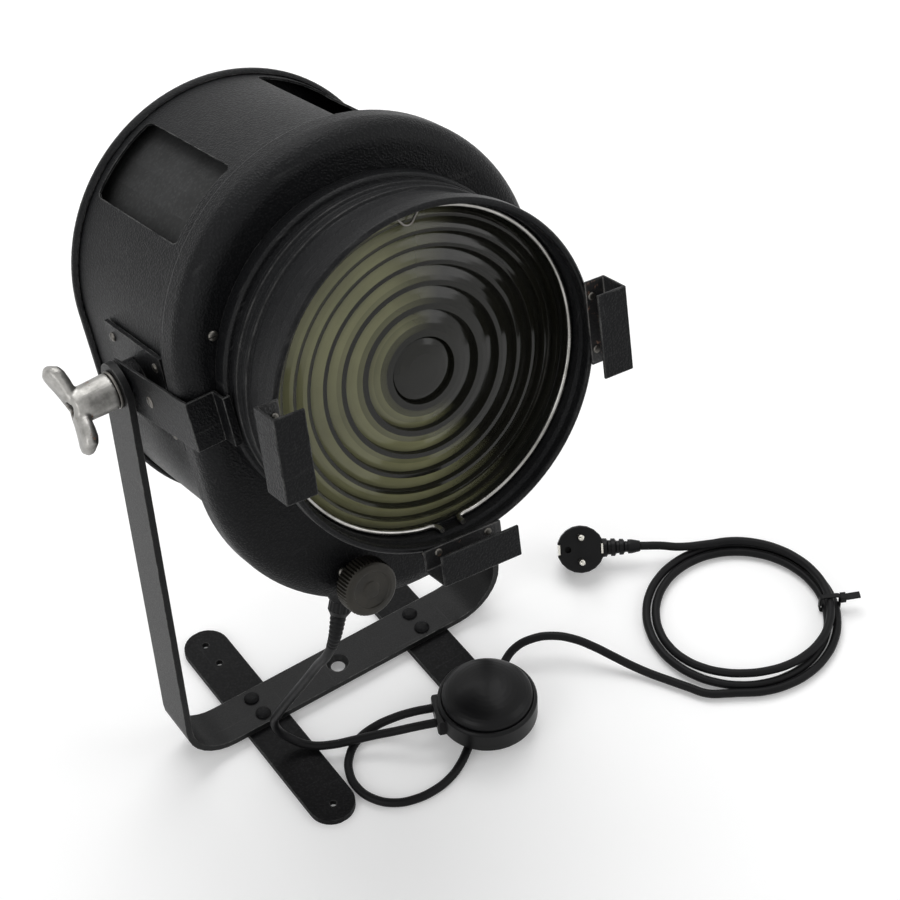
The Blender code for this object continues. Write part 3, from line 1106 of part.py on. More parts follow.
def build_tie(root, coil):
    """Cable tie: a band round the bundle of turns, with its head and tail outside."""
    outward = Vector((math.cos(TIE_ANGLE), math.sin(TIE_ANGLE), 0))
    centre = Vector((*COIL_AT, 0))
    side = Vector((0, 0, 1)).cross(outward)
    crossings = []
    for first, second in zip(coil, coil[1:]):
        before, after = (first - centre).dot(side), (second - centre).dot(side)
        if before <= 0 < after and (first - centre).dot(outward) > 0:
            crossings.append(first.lerp(second, before / (before - after)))
    reaches = [(point - centre).dot(outward) for point in crossings]
    heights = [point.z for point in crossings]
    margin = CORD_RADIUS + GAP
    near, far = min(reaches) - margin, max(reaches) + margin
    low, high = min(heights) - margin, max(heights) + margin
    round_off = 2.2 * MM

    def frame(grow):
        """The band's outline round the bundle, in (outward, up) terms."""
        corners = ((far + grow, high + grow, 0), (near - grow, high + grow, 90),
                   (near - grow, low - grow, 180), (far + grow, low - grow, 270))
        outline = []
        radius = round_off + grow
        for reach, height, turn in corners:
            turn = math.radians(turn)
            inset_x = -radius if turn in (0, math.radians(270)) else radius
            inset_z = -radius if turn in (0, math.radians(90)) else radius
            outline += arc((reach + inset_x, height + inset_z), radius, turn, turn + math.pi / 2, 3)
        return outline

    rings = []
    for outline, shift in ((frame(0), -1), (frame(TIE_THICK), -1), (frame(TIE_THICK), 1), (frame(0), 1)):
        rings.append([centre + outward * u + Vector((0, 0, v)) + side * shift * TIE_WIDTH / 2
                      for u, v in outline])
    band = place("cable_tie", loft("cable_tie", rings, True), "switch_plastic", root)
    head = [centre + outward * u + Vector((0, 0, v)) + side * -3 * MM
            for u, v in ((far + TIE_THICK * 0.5, high - 5.5 * MM), (far + 5 * MM, high - 5.5 * MM),
                         (far + 5 * MM, high - 3 * MM), (far + TIE_TAIL, high - 2.2 * MM),
                         (far + TIE_TAIL, high - 0.8 * MM), (far + 5 * MM, high - 1.6 * MM),
                         (far + 5 * MM, high + 0.2 * MM), (far + TIE_THICK * 0.5, high + 0.2 * MM))]
    cut(band, cutter("tie_head", prism("tie_head", head, side * 6 * MM), root), "UNION")


def middle_on_origin(root, cord_pieces):
    """Stand the part on the floor with the middle of its own footprint box at the origin."""
    bpy.context.view_layer.update()
    graph = bpy.context.evaluated_depsgraph_get()
    corners = []
    for piece in bpy.context.scene.objects:
        if piece.type == "EMPTY" or piece.hide_render or piece.name in cord_pieces:
            continue
        shape = piece.evaluated_get(graph)
        mesh = shape.to_mesh()
        corners += [piece.matrix_world @ vertex.co for vertex in mesh.vertices]
        shape.to_mesh_clear()
    low = [min(corner[i] for corner in corners) for i in range(3)]
    high = [max(corner[i] for corner in corners) for i in range(3)]
    root.location = (-(low[0] + high[0]) / 2, -(low[1] + high[1]) / 2, -low[2])
    print("stand shifted by", [round(value / MM, 3) for value in root.location])


def main():
    """Build every piece under one root, then centre the part on its footprint."""
    for item in list(bpy.data.objects):
        bpy.data.objects.remove(item, do_unlink=True)
    root = empty("stand")
    lamp = empty("tilt_axis", root, (0, 0, PIVOT_HEIGHT), (-TILT_UP, 0, 0))
    knob_axis = empty("knob_axis", root, (0, 0, PIVOT_HEIGHT))
    barrel_axis = empty("barrel_axis", lamp, (0, 0, LENS_RISE), (0, BARREL_TURN, 0))
    focus_axis = empty("focus_axis", lamp, (FOCUS_X, 0, FOCUS_Z))
    carriage_axis = empty("carriage_axis", lamp)
    cap_axis = empty("cap_axis", root, (*SWITCH_AT, SWITCH_LIFT))
    build_yoke(root)
    build_foot(root)
    build_shell(lamp)
    build_rear_cover(lamp)
    build_front_plate(lamp)
    build_baffle(lamp)
    build_pivots(lamp)
    build_clamp(root, knob_axis, lamp)
    build_barrel(barrel_axis)
    build_lens(barrel_axis)
    build_lens_wires(barrel_axis)
    build_channels(barrel_axis)
    build_focus(focus_axis)
    build_carriage(lamp, carriage_axis)
    build_gland(lamp)
    build_switch(root, cap_axis)
    build_plug(root)
    build_cords(root)
    middle_on_origin(root, {"cord_to_lamp", "switch_base", "switch_cap", "cord_to_coil", "cord_coil",
                            "cable_tie", "cord_to_plug", "plug_body", "plug_earth_1",
                            "plug_earth_2", "plug_pin_1", "plug_pin_2"})


main()
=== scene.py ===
import json
import math

import bmesh
import bpy
from mathutils import Matrix, Vector
from mathutils.geometry import interpolate_bezier

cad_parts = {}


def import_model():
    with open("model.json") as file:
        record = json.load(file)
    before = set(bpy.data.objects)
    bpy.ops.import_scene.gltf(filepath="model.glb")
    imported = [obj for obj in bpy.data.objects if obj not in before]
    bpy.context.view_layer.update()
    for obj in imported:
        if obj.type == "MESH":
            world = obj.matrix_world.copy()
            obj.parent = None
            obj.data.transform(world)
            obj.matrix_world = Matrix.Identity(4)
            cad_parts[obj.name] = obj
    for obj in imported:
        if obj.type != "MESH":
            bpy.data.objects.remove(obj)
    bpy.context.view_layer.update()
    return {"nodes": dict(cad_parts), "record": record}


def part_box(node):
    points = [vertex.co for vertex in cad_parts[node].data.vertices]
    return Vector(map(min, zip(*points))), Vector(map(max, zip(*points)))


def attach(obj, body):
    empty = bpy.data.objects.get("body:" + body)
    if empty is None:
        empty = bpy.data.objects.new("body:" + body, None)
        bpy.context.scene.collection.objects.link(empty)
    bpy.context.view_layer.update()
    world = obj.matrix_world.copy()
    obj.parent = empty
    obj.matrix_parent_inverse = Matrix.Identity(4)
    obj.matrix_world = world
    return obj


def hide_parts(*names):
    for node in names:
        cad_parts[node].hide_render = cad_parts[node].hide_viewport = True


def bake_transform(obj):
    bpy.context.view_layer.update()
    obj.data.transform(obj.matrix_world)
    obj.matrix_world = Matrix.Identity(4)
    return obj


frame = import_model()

bl_info = {
    "name": "Theatre Lamp Dressing",
    "version": (1, 0, 0),
    "blender": (4, 5, 0),
    "location": "View3D > Sidebar > Theatre Lamp",
    "description": "Dresses a stage spotlight with painted metal, stepped glass, cords and a plain studio",
    "category": "Object",
}

MM = 0.001
RECORD = frame["record"]
JOINT_PLACES = {joint["name"]: Vector(joint["pos_m"])
                for joint in RECORD["behaviour"]["joints"] if "pos_m" in joint}
BODY_OF = {node: body for body, nodes in RECORD["behaviour"]["bodies"].items() for node in nodes}
SLOT_OF = {part["node"]: part["material_slot"] for part in RECORD["subparts"]}

# The lamp's frame: X is the tilt axis, -Y runs out through the lens, as in the part's source
TILT_UP = math.radians(17)
PIVOT = JOINT_PLACES["tilt"]
STAND = Matrix.Translation((PIVOT.x, PIVOT.y, 0))
LAMP = Matrix.Translation(PIVOT) @ Matrix.Rotation(-TILT_UP, 4, "X")
LENS_RISE = 7
BARREL_TURN = math.radians(5.5)
EYE = LAMP @ Matrix.Translation((0, 0, LENS_RISE * MM))
BARREL = EYE @ Matrix.Rotation(BARREL_TURN, 4, "Y")

# The camera, fitted to the photograph: direction and roll in degrees, target and distance in metres
CAMERA_ANGLES = (-32.27, 45.39, -2.79)
CAMERA_TARGET = STAND @ Vector((0.1097, 0, 0.1741))
CAMERA_DISTANCE = 1.783

# The camera's focal length and the picture's width in pixels, and the sensor's width in millimetres
CAMERA_FOCUS = 2456.14
PICTURE_WIDTH = 900
SENSOR_WIDTH = 36

# The lamps of the stage: name, place and size in metres, and power in watts; then the point they face
STAGE_LAMPS = (("over", (0.35, 0.75, 1.9), 1.5, 21.0), ("left", (-1.7, -0.5, 1.15), 1.2, 9.0),
               ("right", (1.5, -1.3, 1.3), 1.3, 8.0))
LIT_POINT = Vector((0, 0, 0.25))

# The floor's half width, and how far it lies under the object, in metres
FLOOR_REACH = 9
FLOOR_DROP = 0.0002

# The radius that stands for the axis in a turned profile
AXIS = 0.01

# The angles in degrees past which an edge is shaded crisp, and is broken: after a cut, or on a node
CRISP_ANGLE = 32
CUT_ANGLE = 38
BROKEN_ANGLE = 30

# The main sizes from here on are in millimetres and degrees, as in the part's source
GAP = 0.3
SHEET = 1.6
BOLT_HEAD = 2.8
BOLT_SHANK_RADIUS = 3
BOLT_SHANK_DEPTH = 9

# The drum and its vent windows
DRUM_CENTRES = (18, -49.5)
DRUM_RADIUS = 116
DRUM_REAR = -82
DRUM_FRONT = 50
BAND_RADIUS = 123
BAND_FRONT = 76
WINDOW_SPAN = (-70, 43)
WINDOW_ANGLES = (41, 70)
WINDOW_CORNER = 1.2
STUD_HOLE = 5.3

# The rear cover and its slots
REAR_RIM = 119.5
REAR_INSIDE = -84.5
REAR_PANEL = 91
REAR_PANEL_FACE = -96.1
REAR_SLOTS = 5
REAR_SLOT_PITCH = 13
REAR_SLOT_HALF = 40.2
REAR_SLOT_RADIUS = 1.8

# The front plate and its screws
SHOULDER_RADIUS = 128.5
SHOULDER_REAR = 68
SHOULDER_FACE = 98
SHOULDER_ROLL = 15
SHOULDER_SHEET = 2
FACE_SCREWS = ((-101, 57), (101, 57), (-60, -137), (60, -137), (0, -153))

# The screws beside the pivots: place to the side, along the lamp and up, then radius and head
PLATE_SCREWS = ((119.4, -27, 20, 3.2, 1.7), (119.4, -27, -29, 3.2, 1.7), (119.4, 35, 20, 3.2, 1.7),
                (119.4, 35, -29, 3.2, 1.7), (130.9, 40, 2.5, 4, 1))

# The barrel, the lens and the wires that hold it, and the frame channels
BARREL_SPIGOT = 99.7
SPIGOT_DEPTH = 7
BARREL_WALL = 105.5
BARREL_RIB = 107.6
RIB_STARTS = (117, 129)
FLANGE_RADIUS = 109.5
FLANGE_FRONT = 111
LENS_RADIUS = 104
LENS_REAR = 150.3
LENS_FRONT = 157.9
LENS_ZONES = (21, 38, 53, 66, 77, 86.5, 95.5, 103)
LENS_STEP = 3.6
RIM_RADIUS = 112
RIM_FRONT = 176
WIRE_RADIUS = 1.7
WIRE_OPENING = math.radians(5.5)
CLIP_WIRE_RADIUS = 0.8
CHANNEL_TURNS = (("right", 0), ("bottom", 90), ("left", 180))
CHANNEL_HOLLOW = (115, -188, 0)
CHANNEL_SKIN = 1.2
RIVET_REACH = 18

# The focus screw's hub and knob
FOCUS_HUB = LAMP @ Matrix.Translation((-52 * MM, 0, -146 * MM))
FOCUS_BOSS_RADIUS = 9
FOCUS_BOSS_FACE = 103
FOCUS_SCREW_HOLE = 2.8
FOCUS_KNOB_RADIUS = 19
FOCUS_KNOB_BACK = FOCUS_BOSS_FACE + GAP
FOCUS_KNOB_DEPTH = 15

# The lampholder, the lamp and the mirror
LAMP_ALONG = 15
HOLDER_BASE = -107.7
HOLDER_TOP = -73.7
HOLDER_RADIUS = 18
BULB_RADIUS = 22
GLASS = 0.9
FILAMENT_RADIUS = 1.3
MIRROR_RADIUS = 62
MIRROR_SHEET = 1.5
MIRROR_OPENING = math.radians(62)

# The cord, its gland and the foot switch
CORD_RADIUS = 3.25
CORD_EXIT = (-61.74, -124.91, 224.96)
GLAND_ANGLE = math.radians(25)
GLAND_ALONG = 75
SLEEVE_RADIUS = 5.5
SLEEVE_TAPER = 1.9
SLEEVE_GROOVE = 0.45
SWITCH_PLACE = (64, -107, 12.1)
SWITCH_FACING = Vector((-0.92718, 0.37461, 0))
SWITCH_RADIUS = 37
SWITCH_CAP_RADIUS = 33.6
SWITCH_BLOCK_HALF = 13.5
SWITCH_BLOCK_END = 40
SWITCH_PAD_TURNS = (40, 130, 220, 310)
SWITCH_ENTRY = Vector((24.01, -98.39, 21.1))
SECOND_ENTRY = Vector((29.26, -85.41, 21.1))
LEAD_IN = 13

# The coil on the floor and the cord's end at the plug
COIL_PLACE = (278, -137)
COIL_RADIUS = 76.5
COIL_SPACING = 7.3
COIL_START = math.radians(230)
COIL_TURNS = 2.56
COIL_HEIGHT = 4.85
COIL_RISE = 7
COIL_STEPS = 24
PLUG_CORD_END = Vector((253.07, -44.74, 17.94))
PLUG_SLEEVE_WAY = Vector((0.84554, -0.53391, 0))
KNOT_SPACING = 15.6
PLUG_KNOT_SPACING = 14.3

# The knots of the cord from the lamp to the switch, and of the cord from the switch to the coil
CORD_DOWN = (CORD_EXIT, (-68.38, -129.07, 211.36), (-72, -124, 192), (-72, -108, 165),
             (-73.5, -90, 132), (-76.5, -70, 95), (-78.5, -53.5, 64), (-79, -43, 43),
             (-77.2, -40.2, 30.8), (-71.9, -42.2, 19.5), (-63.9, -48.2, 11.7), (-55, -56.2, 8.9),
             (-40, -65, 9.8), (-22, -72.8, 11.8), (-4, -83, 15.5),
             SWITCH_ENTRY + SWITCH_FACING * LEAD_IN, SWITCH_ENTRY)
CORD_AROUND = (SECOND_ENTRY, SECOND_ENTRY + SWITCH_FACING * LEAD_IN, (4, -71.5, 14), (-8, -66.3, 8.4),
               (-21, -65.3, 4.6), (-33.5, -71.2, 3.5), (-43.5, -82.5, 3.4), (-48.6, -98, 3.4),
               (-45.8, -115, 3.4), (-35.5, -128.5, 3.4), (-17, -136.3, 3.4), (6, -135.9, 3.4),
               (24, -129, 4), (38, -120, 5.9), (52, -111, 8.3), (68, -100.5, 8.55), (81, -89.5, 8.55),
               (93, -79.5, 8.55), (105, -72.5, 11.5), (118, -70.5, 17), (133, -76, 21), (145.5, -85, 22),
               (156, -96, 20), (166, -110, 15.5), (176, -125, 9.5), (186.5, -142, 5.6),
               (198, -161.5, 4.85))


class LampMeasures(bpy.types.PropertyGroup):
    """Sizes that set how finely the pieces are made."""

    round_steps: bpy.props.IntProperty(
        name="Steps Round", description="Faces round the drum, the barrel and the lens",
        default=120, min=36, max=360)
    edge_radius: bpy.props.FloatProperty(
        name="Edge Radius", description="Radius of the broken edges on bars and sheet pieces",
        default=0.0007, min=0.0001, max=0.002, unit="LENGTH")
    focus_grips: bpy.props.IntProperty(
        name="Focus Grips", description="Ridges round the focus knob", default=48, min=12, max=96)
    sleeve_length: bpy.props.FloatProperty(
        name="Sleeve Length", description="Length of the tapered sleeve where the cord leaves the lamp",
        default=0.026, min=0.02, max=0.06, unit="LENGTH")
    cord_steps: bpy.props.IntProperty(
        name="Cord Steps", description="Curve steps between two points of a cord",
        default=5, min=2, max=12)


class LampFinishes(bpy.types.PropertyGroup):
    """Colours and wear of the finishes."""

    paint: bpy.props.FloatVectorProperty(
        name="Paint", description="Crackle paint on the drum, the barrel and the foot",
        subtype="COLOR", size=3, default=(0.0035, 0.0037, 0.0043), min=0, max=1)
    crackle: bpy.props.FloatProperty(
        name="Crackle", description="Width of one grain of the crackle paint",
        default=0.0013, min=0.0003, max=0.006, unit="LENGTH")
    wear: bpy.props.FloatProperty(
        name="Wear", description="How much of the paint is gone from the edges",
        subtype="FACTOR", default=0.45, min=0, max=1)
    # The colour of the painted highlight on the lens's zones on its lit side
    glass: bpy.props.FloatVectorProperty(
        name="Glass", description="Tint of the stepped lens",
        subtype="COLOR", size=3, default=(0.42, 0.42, 0.225), min=0, max=1)
    rubber: bpy.props.FloatVectorProperty(
        name="Rubber", description="Colour of the cord's sheath",
        subtype="COLOR", size=3, default=(0.0055, 0.0055, 0.006), min=0, max=1)
    floor: bpy.props.FloatVectorProperty(
        name="Floor", description="Colour of the floor",
        subtype="COLOR", size=3, default=(0.9, 0.9, 0.9), min=0, max=1)


def measures():
    """The size settings."""
    return bpy.context.scene.lamp_measures


def finishes():
    """The colour settings."""
    return bpy.context.scene.lamp_finishes


# Node building

def connect(tree, node, links):
    """Fill a node's inputs with values or links."""
    for key, value in links.items():
        if isinstance(value, bpy.types.NodeSocket):
            tree.links.new(value, node.inputs[key])
        else:
            node.inputs[key].default_value = value


def put(tree, kind, links=None, **settings):
    """Add a node, set its properties and fill its inputs."""
    node = tree.nodes.new(kind)
    for key, value in settings.items():
        setattr(node, key, value)
    connect(tree, node, links or {})
    return node


def maths(tree, operation, first, second=0.0, clamp=False):
    """The output of one maths node."""
    return put(tree, "ShaderNodeMath", {0: first, 1: second}, operation=operation,
               use_clamp=clamp).outputs[0]


def vector(tree, operation, first, second=None):
    """The output of one vector node: a number for a length or a dot product."""
    links = {0: first} if second is None else {0: first, 1: second}
    number = operation in ("DOT_PRODUCT", "LENGTH")
    return put(tree, "ShaderNodeVectorMath", links, operation=operation).outputs["Value" if number else 0]


def mixed(tree, share, first, second):
    """A colour between two colours."""
    colours = [(*c, 1.0) if isinstance(c, (tuple, list)) and len(c) == 3 else c
               for c in (first, second)]
    return put(tree, "ShaderNodeMix", {0: share, 6: colours[0], 7: colours[1]},
               data_type="RGBA").outputs[2]


def shaded(colour, factor, lift=0.0):
    """A colour made darker or paler, at most white."""
    return tuple(min(1.0, channel * factor + lift) for channel in colour)


def spread(tree, value, low, high, to_low=0.0, to_high=1.0):
    """A value stretched from one span to another and clamped to it."""
    return put(tree, "ShaderNodeMapRange", {0: value, 1: low, 2: high, 3: to_low, 4: to_high}).outputs[0]


def noise(tree, place, scale, detail=3.0, rough=0.5):
    """The value of a noise texture."""
    return put(tree, "ShaderNodeTexNoise", {"Vector": place, "Scale": scale, "Detail": detail,
                                            "Roughness": rough}).outputs[0]


def shared(name, inputs, outputs, build):
    """A node group with named sockets, built on first use."""
    tree = bpy.data.node_groups.get(name)
    if tree:
        return tree
    tree = bpy.data.node_groups.new(name, "ShaderNodeTree")
    for label, kind, default in inputs:
        socket = tree.interface.new_socket(label, in_out="INPUT", socket_type=kind)
        if default is not None:
            socket.default_value = default
    for label, kind in outputs:
        tree.interface.new_socket(label, in_out="OUTPUT", socket_type=kind)
    source = tree.nodes.new("NodeGroupInput")
    sink = tree.nodes.new("NodeGroupOutput")
    for label, socket in build(tree, source.outputs).items():
        tree.links.new(socket, sink.inputs[label])
    return tree


VALUE = "NodeSocketFloat"
PLACE = ("Place", "NodeSocketVector", None)


def crackle_paint():
    """Wrinkled stoving paint: a height and the crests that shine; the finishes paint these crests paler as a
    painted glint.
    """
    def build(tree, given):
        scale = maths(tree, "DIVIDE", 1.0, given["Grain"])
        bend = put(tree, "ShaderNodeTexNoise", {"Vector": given["Place"], "Scale": 240.0, "Detail": 2.0})
        shift = vector(tree, "SUBTRACT", bend.outputs[1], (0.5, 0.5, 0.5))
        nudge = put(tree, "ShaderNodeVectorMath", {0: shift, "Scale": 0.0016}, operation="SCALE").outputs[0]
        place = vector(tree, "ADD", given["Place"], nudge)
        cells = put(tree, "ShaderNodeTexVoronoi", {"Vector": place, "Scale": scale},
                    feature="SMOOTH_F1").outputs[0]
        grain = noise(tree, given["Place"], maths(tree, "MULTIPLY", scale, 2.3), 2.0)
        crest = spread(tree, cells, 0.55, 0.15)
        height = maths(tree, "ADD", crest, maths(tree, "MULTIPLY", grain, 0.45))
        return {"Height": height, "Crest": maths(tree, "MULTIPLY", crest, spread(tree, grain, 0.35, 0.6))}
    return shared("Crackle Paint", [PLACE, ("Grain", VALUE, 0.0013)],
                  [("Height", VALUE), ("Crest", VALUE)], build)


def edge_wear():
    """Where paint has gone from proud edges, broken up by a noise."""
    def build(tree, given):
        shape = put(tree, "ShaderNodeNewGeometry").outputs
        eased_over = put(tree, "ShaderNodeBevel", {"Radius": given["Width"]}, samples=4).outputs[0]
        level = vector(tree, "DOT_PRODUCT", eased_over, shape["Normal"])
        proud = maths(tree, "MULTIPLY", spread(tree, level, 0.992, 0.93),
                      spread(tree, shape["Pointiness"], 0.485, 0.505))
        patch = spread(tree, noise(tree, given["Place"], given["Patch Scale"], 5.0, 0.65), 0.38, 0.62)
        reach = maths(tree, "MULTIPLY", proud, patch)
        return {"Mask": maths(tree, "MULTIPLY", reach, given["Amount"], True)}
    return shared("Edge Wear", [PLACE, ("Amount", VALUE, 0.5), ("Width", VALUE, 0.001),
                                ("Patch Scale", VALUE, 90.0)], [("Mask", VALUE)], build)


def scuffs():
    """Fine scratches and rubbed patches."""
    def build(tree, given):
        stretched = put(tree, "ShaderNodeMapping", {"Vector": given["Place"], "Scale": (14.0, 380.0, 90.0),
                                                    "Rotation": (0.3, 0.5, 0.9)}).outputs[0]
        crossed = put(tree, "ShaderNodeMapping", {"Vector": given["Place"], "Scale": (420.0, 18.0, 60.0),
                                                  "Rotation": (0.2, 0.9, 0.4)}).outputs[0]
        first = spread(tree, noise(tree, stretched, 1.0, 2.0), 0.66, 0.74)
        second = spread(tree, noise(tree, crossed, 1.0, 2.0), 0.67, 0.75)
        rub = spread(tree, noise(tree, given["Place"], 26.0, 6.0, 0.7), 0.52, 0.68)
        lines = maths(tree, "MAXIMUM", first, second)
        return {"Lines": maths(tree, "MULTIPLY", lines, given["Amount"], True),
                "Rub": maths(tree, "MULTIPLY", rub, given["Amount"], True)}
    return shared("Scuffs", [PLACE, ("Amount", VALUE, 0.5)], [("Lines", VALUE), ("Rub", VALUE)], build)


def settled_dust():
    """Dust that lies on what faces up, thicker in broad patches."""
    def build(tree, given):
        up = put(tree, "ShaderNodeSeparateXYZ",
                 {0: put(tree, "ShaderNodeNewGeometry").outputs["Normal"]}).outputs[2]
        patch = spread(tree, noise(tree, given["Place"], 18.0, 5.0, 0.6), 0.3, 0.75, 0.35, 1.0)
        lying = maths(tree, "MULTIPLY", spread(tree, up, 0.1, 0.95), patch)
        return {"Mask": maths(tree, "MULTIPLY", lying, given["Amount"], True)}
    return shared("Settled Dust", [PLACE, ("Amount", VALUE, 0.2)], [("Mask", VALUE)], build)


def rust_bloom():
    """Spots and blooms of rust, with a tone that varies inside them."""
    def build(tree, given):
        broad = noise(tree, given["Place"], given["Scale"], 6.0, 0.7)
        fine = noise(tree, given["Place"], maths(tree, "MULTIPLY", given["Scale"], 7.0), 4.0, 0.6)
        both = maths(tree, "ADD", broad, maths(tree, "MULTIPLY", maths(tree, "SUBTRACT", fine, 0.5), 0.5))
        start = maths(tree, "SUBTRACT", 0.78, maths(tree, "MULTIPLY", given["Amount"], 0.4))
        spot = put(tree, "ShaderNodeMapRange", {0: both, 1: start, 2: maths(tree, "ADD", start, 0.07)})
        return {"Mask": spot.outputs[0], "Tone": fine}
    return shared("Rust Bloom", [PLACE, ("Amount", VALUE, 0.3), ("Scale", VALUE, 40.0)],
                  [("Mask", VALUE), ("Tone", VALUE)], build)


def use(tree, group, links):
    """Place a shared group in a material."""
    return put(tree, "ShaderNodeGroup", links, node_tree=group).outputs


def begin(name):
    """A new material with its object coordinates and its shader."""
    material = bpy.data.materials.new(name)
    material.use_nodes = True
    tree = material.node_tree
    shader = tree.nodes["Principled BSDF"]
    place = put(tree, "ShaderNodeTexCoord").outputs["Object"]
    return material, tree, shader, place


def bumped(tree, height, strength, distance):
    """A normal from a height."""
    return put(tree, "ShaderNodeBump", {"Height": height, "Strength": strength,
                                        "Distance": distance}).outputs[0]


def painted(name, colour, bare, wear, dust, crackle, rough=0.5, bump=0.35, sheen=0.11):
    """Painted metal: crackle or smooth paint with a painted glint on its crests, worn to bare metal at its
    edges, with scuffs and dust.
    """
    material, tree, shader, place = begin(name)
    coat = use(tree, crackle_paint(), {"Place": place, "Grain": crackle})
    worn = use(tree, edge_wear(), {"Place": place, "Amount": wear})["Mask"]
    marks = use(tree, scuffs(), {"Place": place, "Amount": wear * 0.8})
    lying = use(tree, settled_dust(), {"Place": place, "Amount": dust})["Mask"]
    tone = noise(tree, place, 11.0, 4.0)
    # pale is the colour of the painted glint on the crests, and also of the real rubbed patches
    pale = shaded(colour, 1.7, 0.01)
    body = mixed(tree, spread(tree, tone, 0.35, 0.65), shaded(colour, 0.72), colour)
    # Painted glint: the crackle's crests are made paler in the paint's colour
    body = mixed(tree, maths(tree, "MULTIPLY", coat["Crest"], 0.55), body, pale)
    body = mixed(tree, maths(tree, "MULTIPLY", marks["Rub"], 0.18), body, pale)
    body = mixed(tree, maths(tree, "MULTIPLY", marks["Lines"], 0.5), body, (0.055, 0.055, 0.055))
    body = mixed(tree, lying, body, (0.11, 0.112, 0.115))
    body = mixed(tree, worn, body, bare)
    shine = maths(tree, "SUBTRACT", rough, maths(tree, "MULTIPLY", coat["Crest"], 0.14))
    shine = maths(tree, "ADD", shine, maths(tree, "MULTIPLY", lying, 0.35), True)
    height = maths(tree, "SUBTRACT", coat["Height"], maths(tree, "MULTIPLY", worn, 0.8))
    connect(tree, shader, {"Base Color": body, "Roughness": shine, "Specular IOR Level": sheen,
                           "Metallic": maths(tree, "MULTIPLY", worn, 0.85),
                           "Normal": bumped(tree, height, bump, 0.0004)})
    return material


def bare_metal(name, light, dark, rough, rust, brushed=0.3, metallic=1.0):
    """Bare or plated metal: tone, scratches, dullness in patches and some rust."""
    material, tree, shader, place = begin(name)
    marks = use(tree, scuffs(), {"Place": place, "Amount": 0.7})
    bloom = use(tree, rust_bloom(), {"Place": place, "Amount": rust, "Scale": 95.0})
    worn = use(tree, edge_wear(), {"Place": place, "Amount": 0.8})["Mask"]
    tone = spread(tree, noise(tree, place, 60.0, 6.0, 0.65), 0.32, 0.68)
    body = mixed(tree, tone, dark, light)
    body = mixed(tree, maths(tree, "MULTIPLY", worn, 0.6), body, shaded(light, 1.25))
    reddish = mixed(tree, bloom["Tone"], (0.13, 0.05, 0.022), (0.27, 0.13, 0.06))
    body = mixed(tree, bloom["Mask"], body, reddish)
    dull = maths(tree, "ADD", rough, maths(tree, "MULTIPLY", marks["Rub"], 0.2))
    dull = maths(tree, "ADD", dull, maths(tree, "MULTIPLY", bloom["Mask"], 0.4), True)
    clean = maths(tree, "SUBTRACT", 1.0, maths(tree, "MULTIPLY", bloom["Mask"], 0.9))
    whole = maths(tree, "MULTIPLY", clean, metallic)
    relief = maths(tree, "ADD", maths(tree, "MULTIPLY", tone, 0.5), marks["Lines"])
    connect(tree, shader, {"Base Color": body, "Roughness": dull, "Metallic": whole,
                           "Normal": bumped(tree, relief, brushed, 0.00015)})
    return material


def moulded(name, colour, rough, dust, grain=900.0, bump=0.12, coat=0.0, sheen=0.22):
    """Moulded rubber, plastic or glazed ware: fine grain, handling marks and dust."""
    material, tree, shader, place = begin(name)
    marks = use(tree, scuffs(), {"Place": place, "Amount": 0.5})
    lying = use(tree, settled_dust(), {"Place": place, "Amount": dust})["Mask"]
    tone = spread(tree, noise(tree, place, 45.0, 5.0), 0.3, 0.7)
    fine = noise(tree, place, grain, 3.0)
    body = mixed(tree, tone, shaded(colour, 0.75), shaded(colour, 1.2))
    body = mixed(tree, maths(tree, "MULTIPLY", marks["Lines"], 0.35), body, shaded(colour, 2.2, 0.006))
    body = mixed(tree, lying, body, (0.1, 0.1, 0.102))
    dull = maths(tree, "ADD", rough, maths(tree, "MULTIPLY", fine, 0.1))
    dull = maths(tree, "ADD", dull, maths(tree, "MULTIPLY", marks["Rub"], 0.12), True)
    connect(tree, shader, {"Base Color": body, "Roughness": dull, "Coat Weight": coat,
                           "Specular IOR Level": sheen, "Normal": bumped(tree, fine, bump, 0.0002)})
    return material


def lens_glass(name, painted_highlight_colour, deep, rough, rippled, through, sheen, side=(-1, 0, 0), middle=(0, 0, 0)):
    """Pressed glass: deep in tone, with a painted highlight on the zones to one side of its middle, where
    the light falls.
    """
    material, tree, shader, place = begin(name)
    lying = use(tree, settled_dust(), {"Place": place, "Amount": 0.06})["Mask"]
    tone = spread(tree, noise(tree, place, 22.0, 4.0), 0.3, 0.7, 0.7, 1.0)
    facing = put(tree, "ShaderNodeTexCoord").outputs["Normal"]
    spoke = vector(tree, "SUBTRACT", place, middle)
    outward = vector(tree, "NORMALIZE", spoke)
    reach = spread(tree, vector(tree, "LENGTH", spoke), 0.022, 0.03)
    # Painted highlight: only the zones on the given side, on their slopes that lean outward, are made paler
    around = spread(tree, vector(tree, "DOT_PRODUCT", outward, side), -0.45, 0.2)
    lean = spread(tree, vector(tree, "DOT_PRODUCT", facing, outward), 0.1, 0.28)
    painted_highlight = maths(tree, "MULTIPLY", around, lean)
    painted_highlight = maths(tree, "MULTIPLY", painted_highlight, maths(tree, "MULTIPLY", tone, reach))
    body = mixed(tree, painted_highlight, deep, painted_highlight_colour)
    body = mixed(tree, lying, body, (0.3, 0.3, 0.26))
    dull = maths(tree, "ADD", rough, maths(tree, "MULTIPLY", lying, 0.4), True)
    ripple = noise(tree, place, 70.0, 3.0)
    connect(tree, shader, {"Base Color": body, "Roughness": dull, "IOR": 1.5,
                           "Transmission Weight": through, "Specular IOR Level": sheen,
                           "Normal": bumped(tree, ripple, rippled, 0.0006)})
    return material


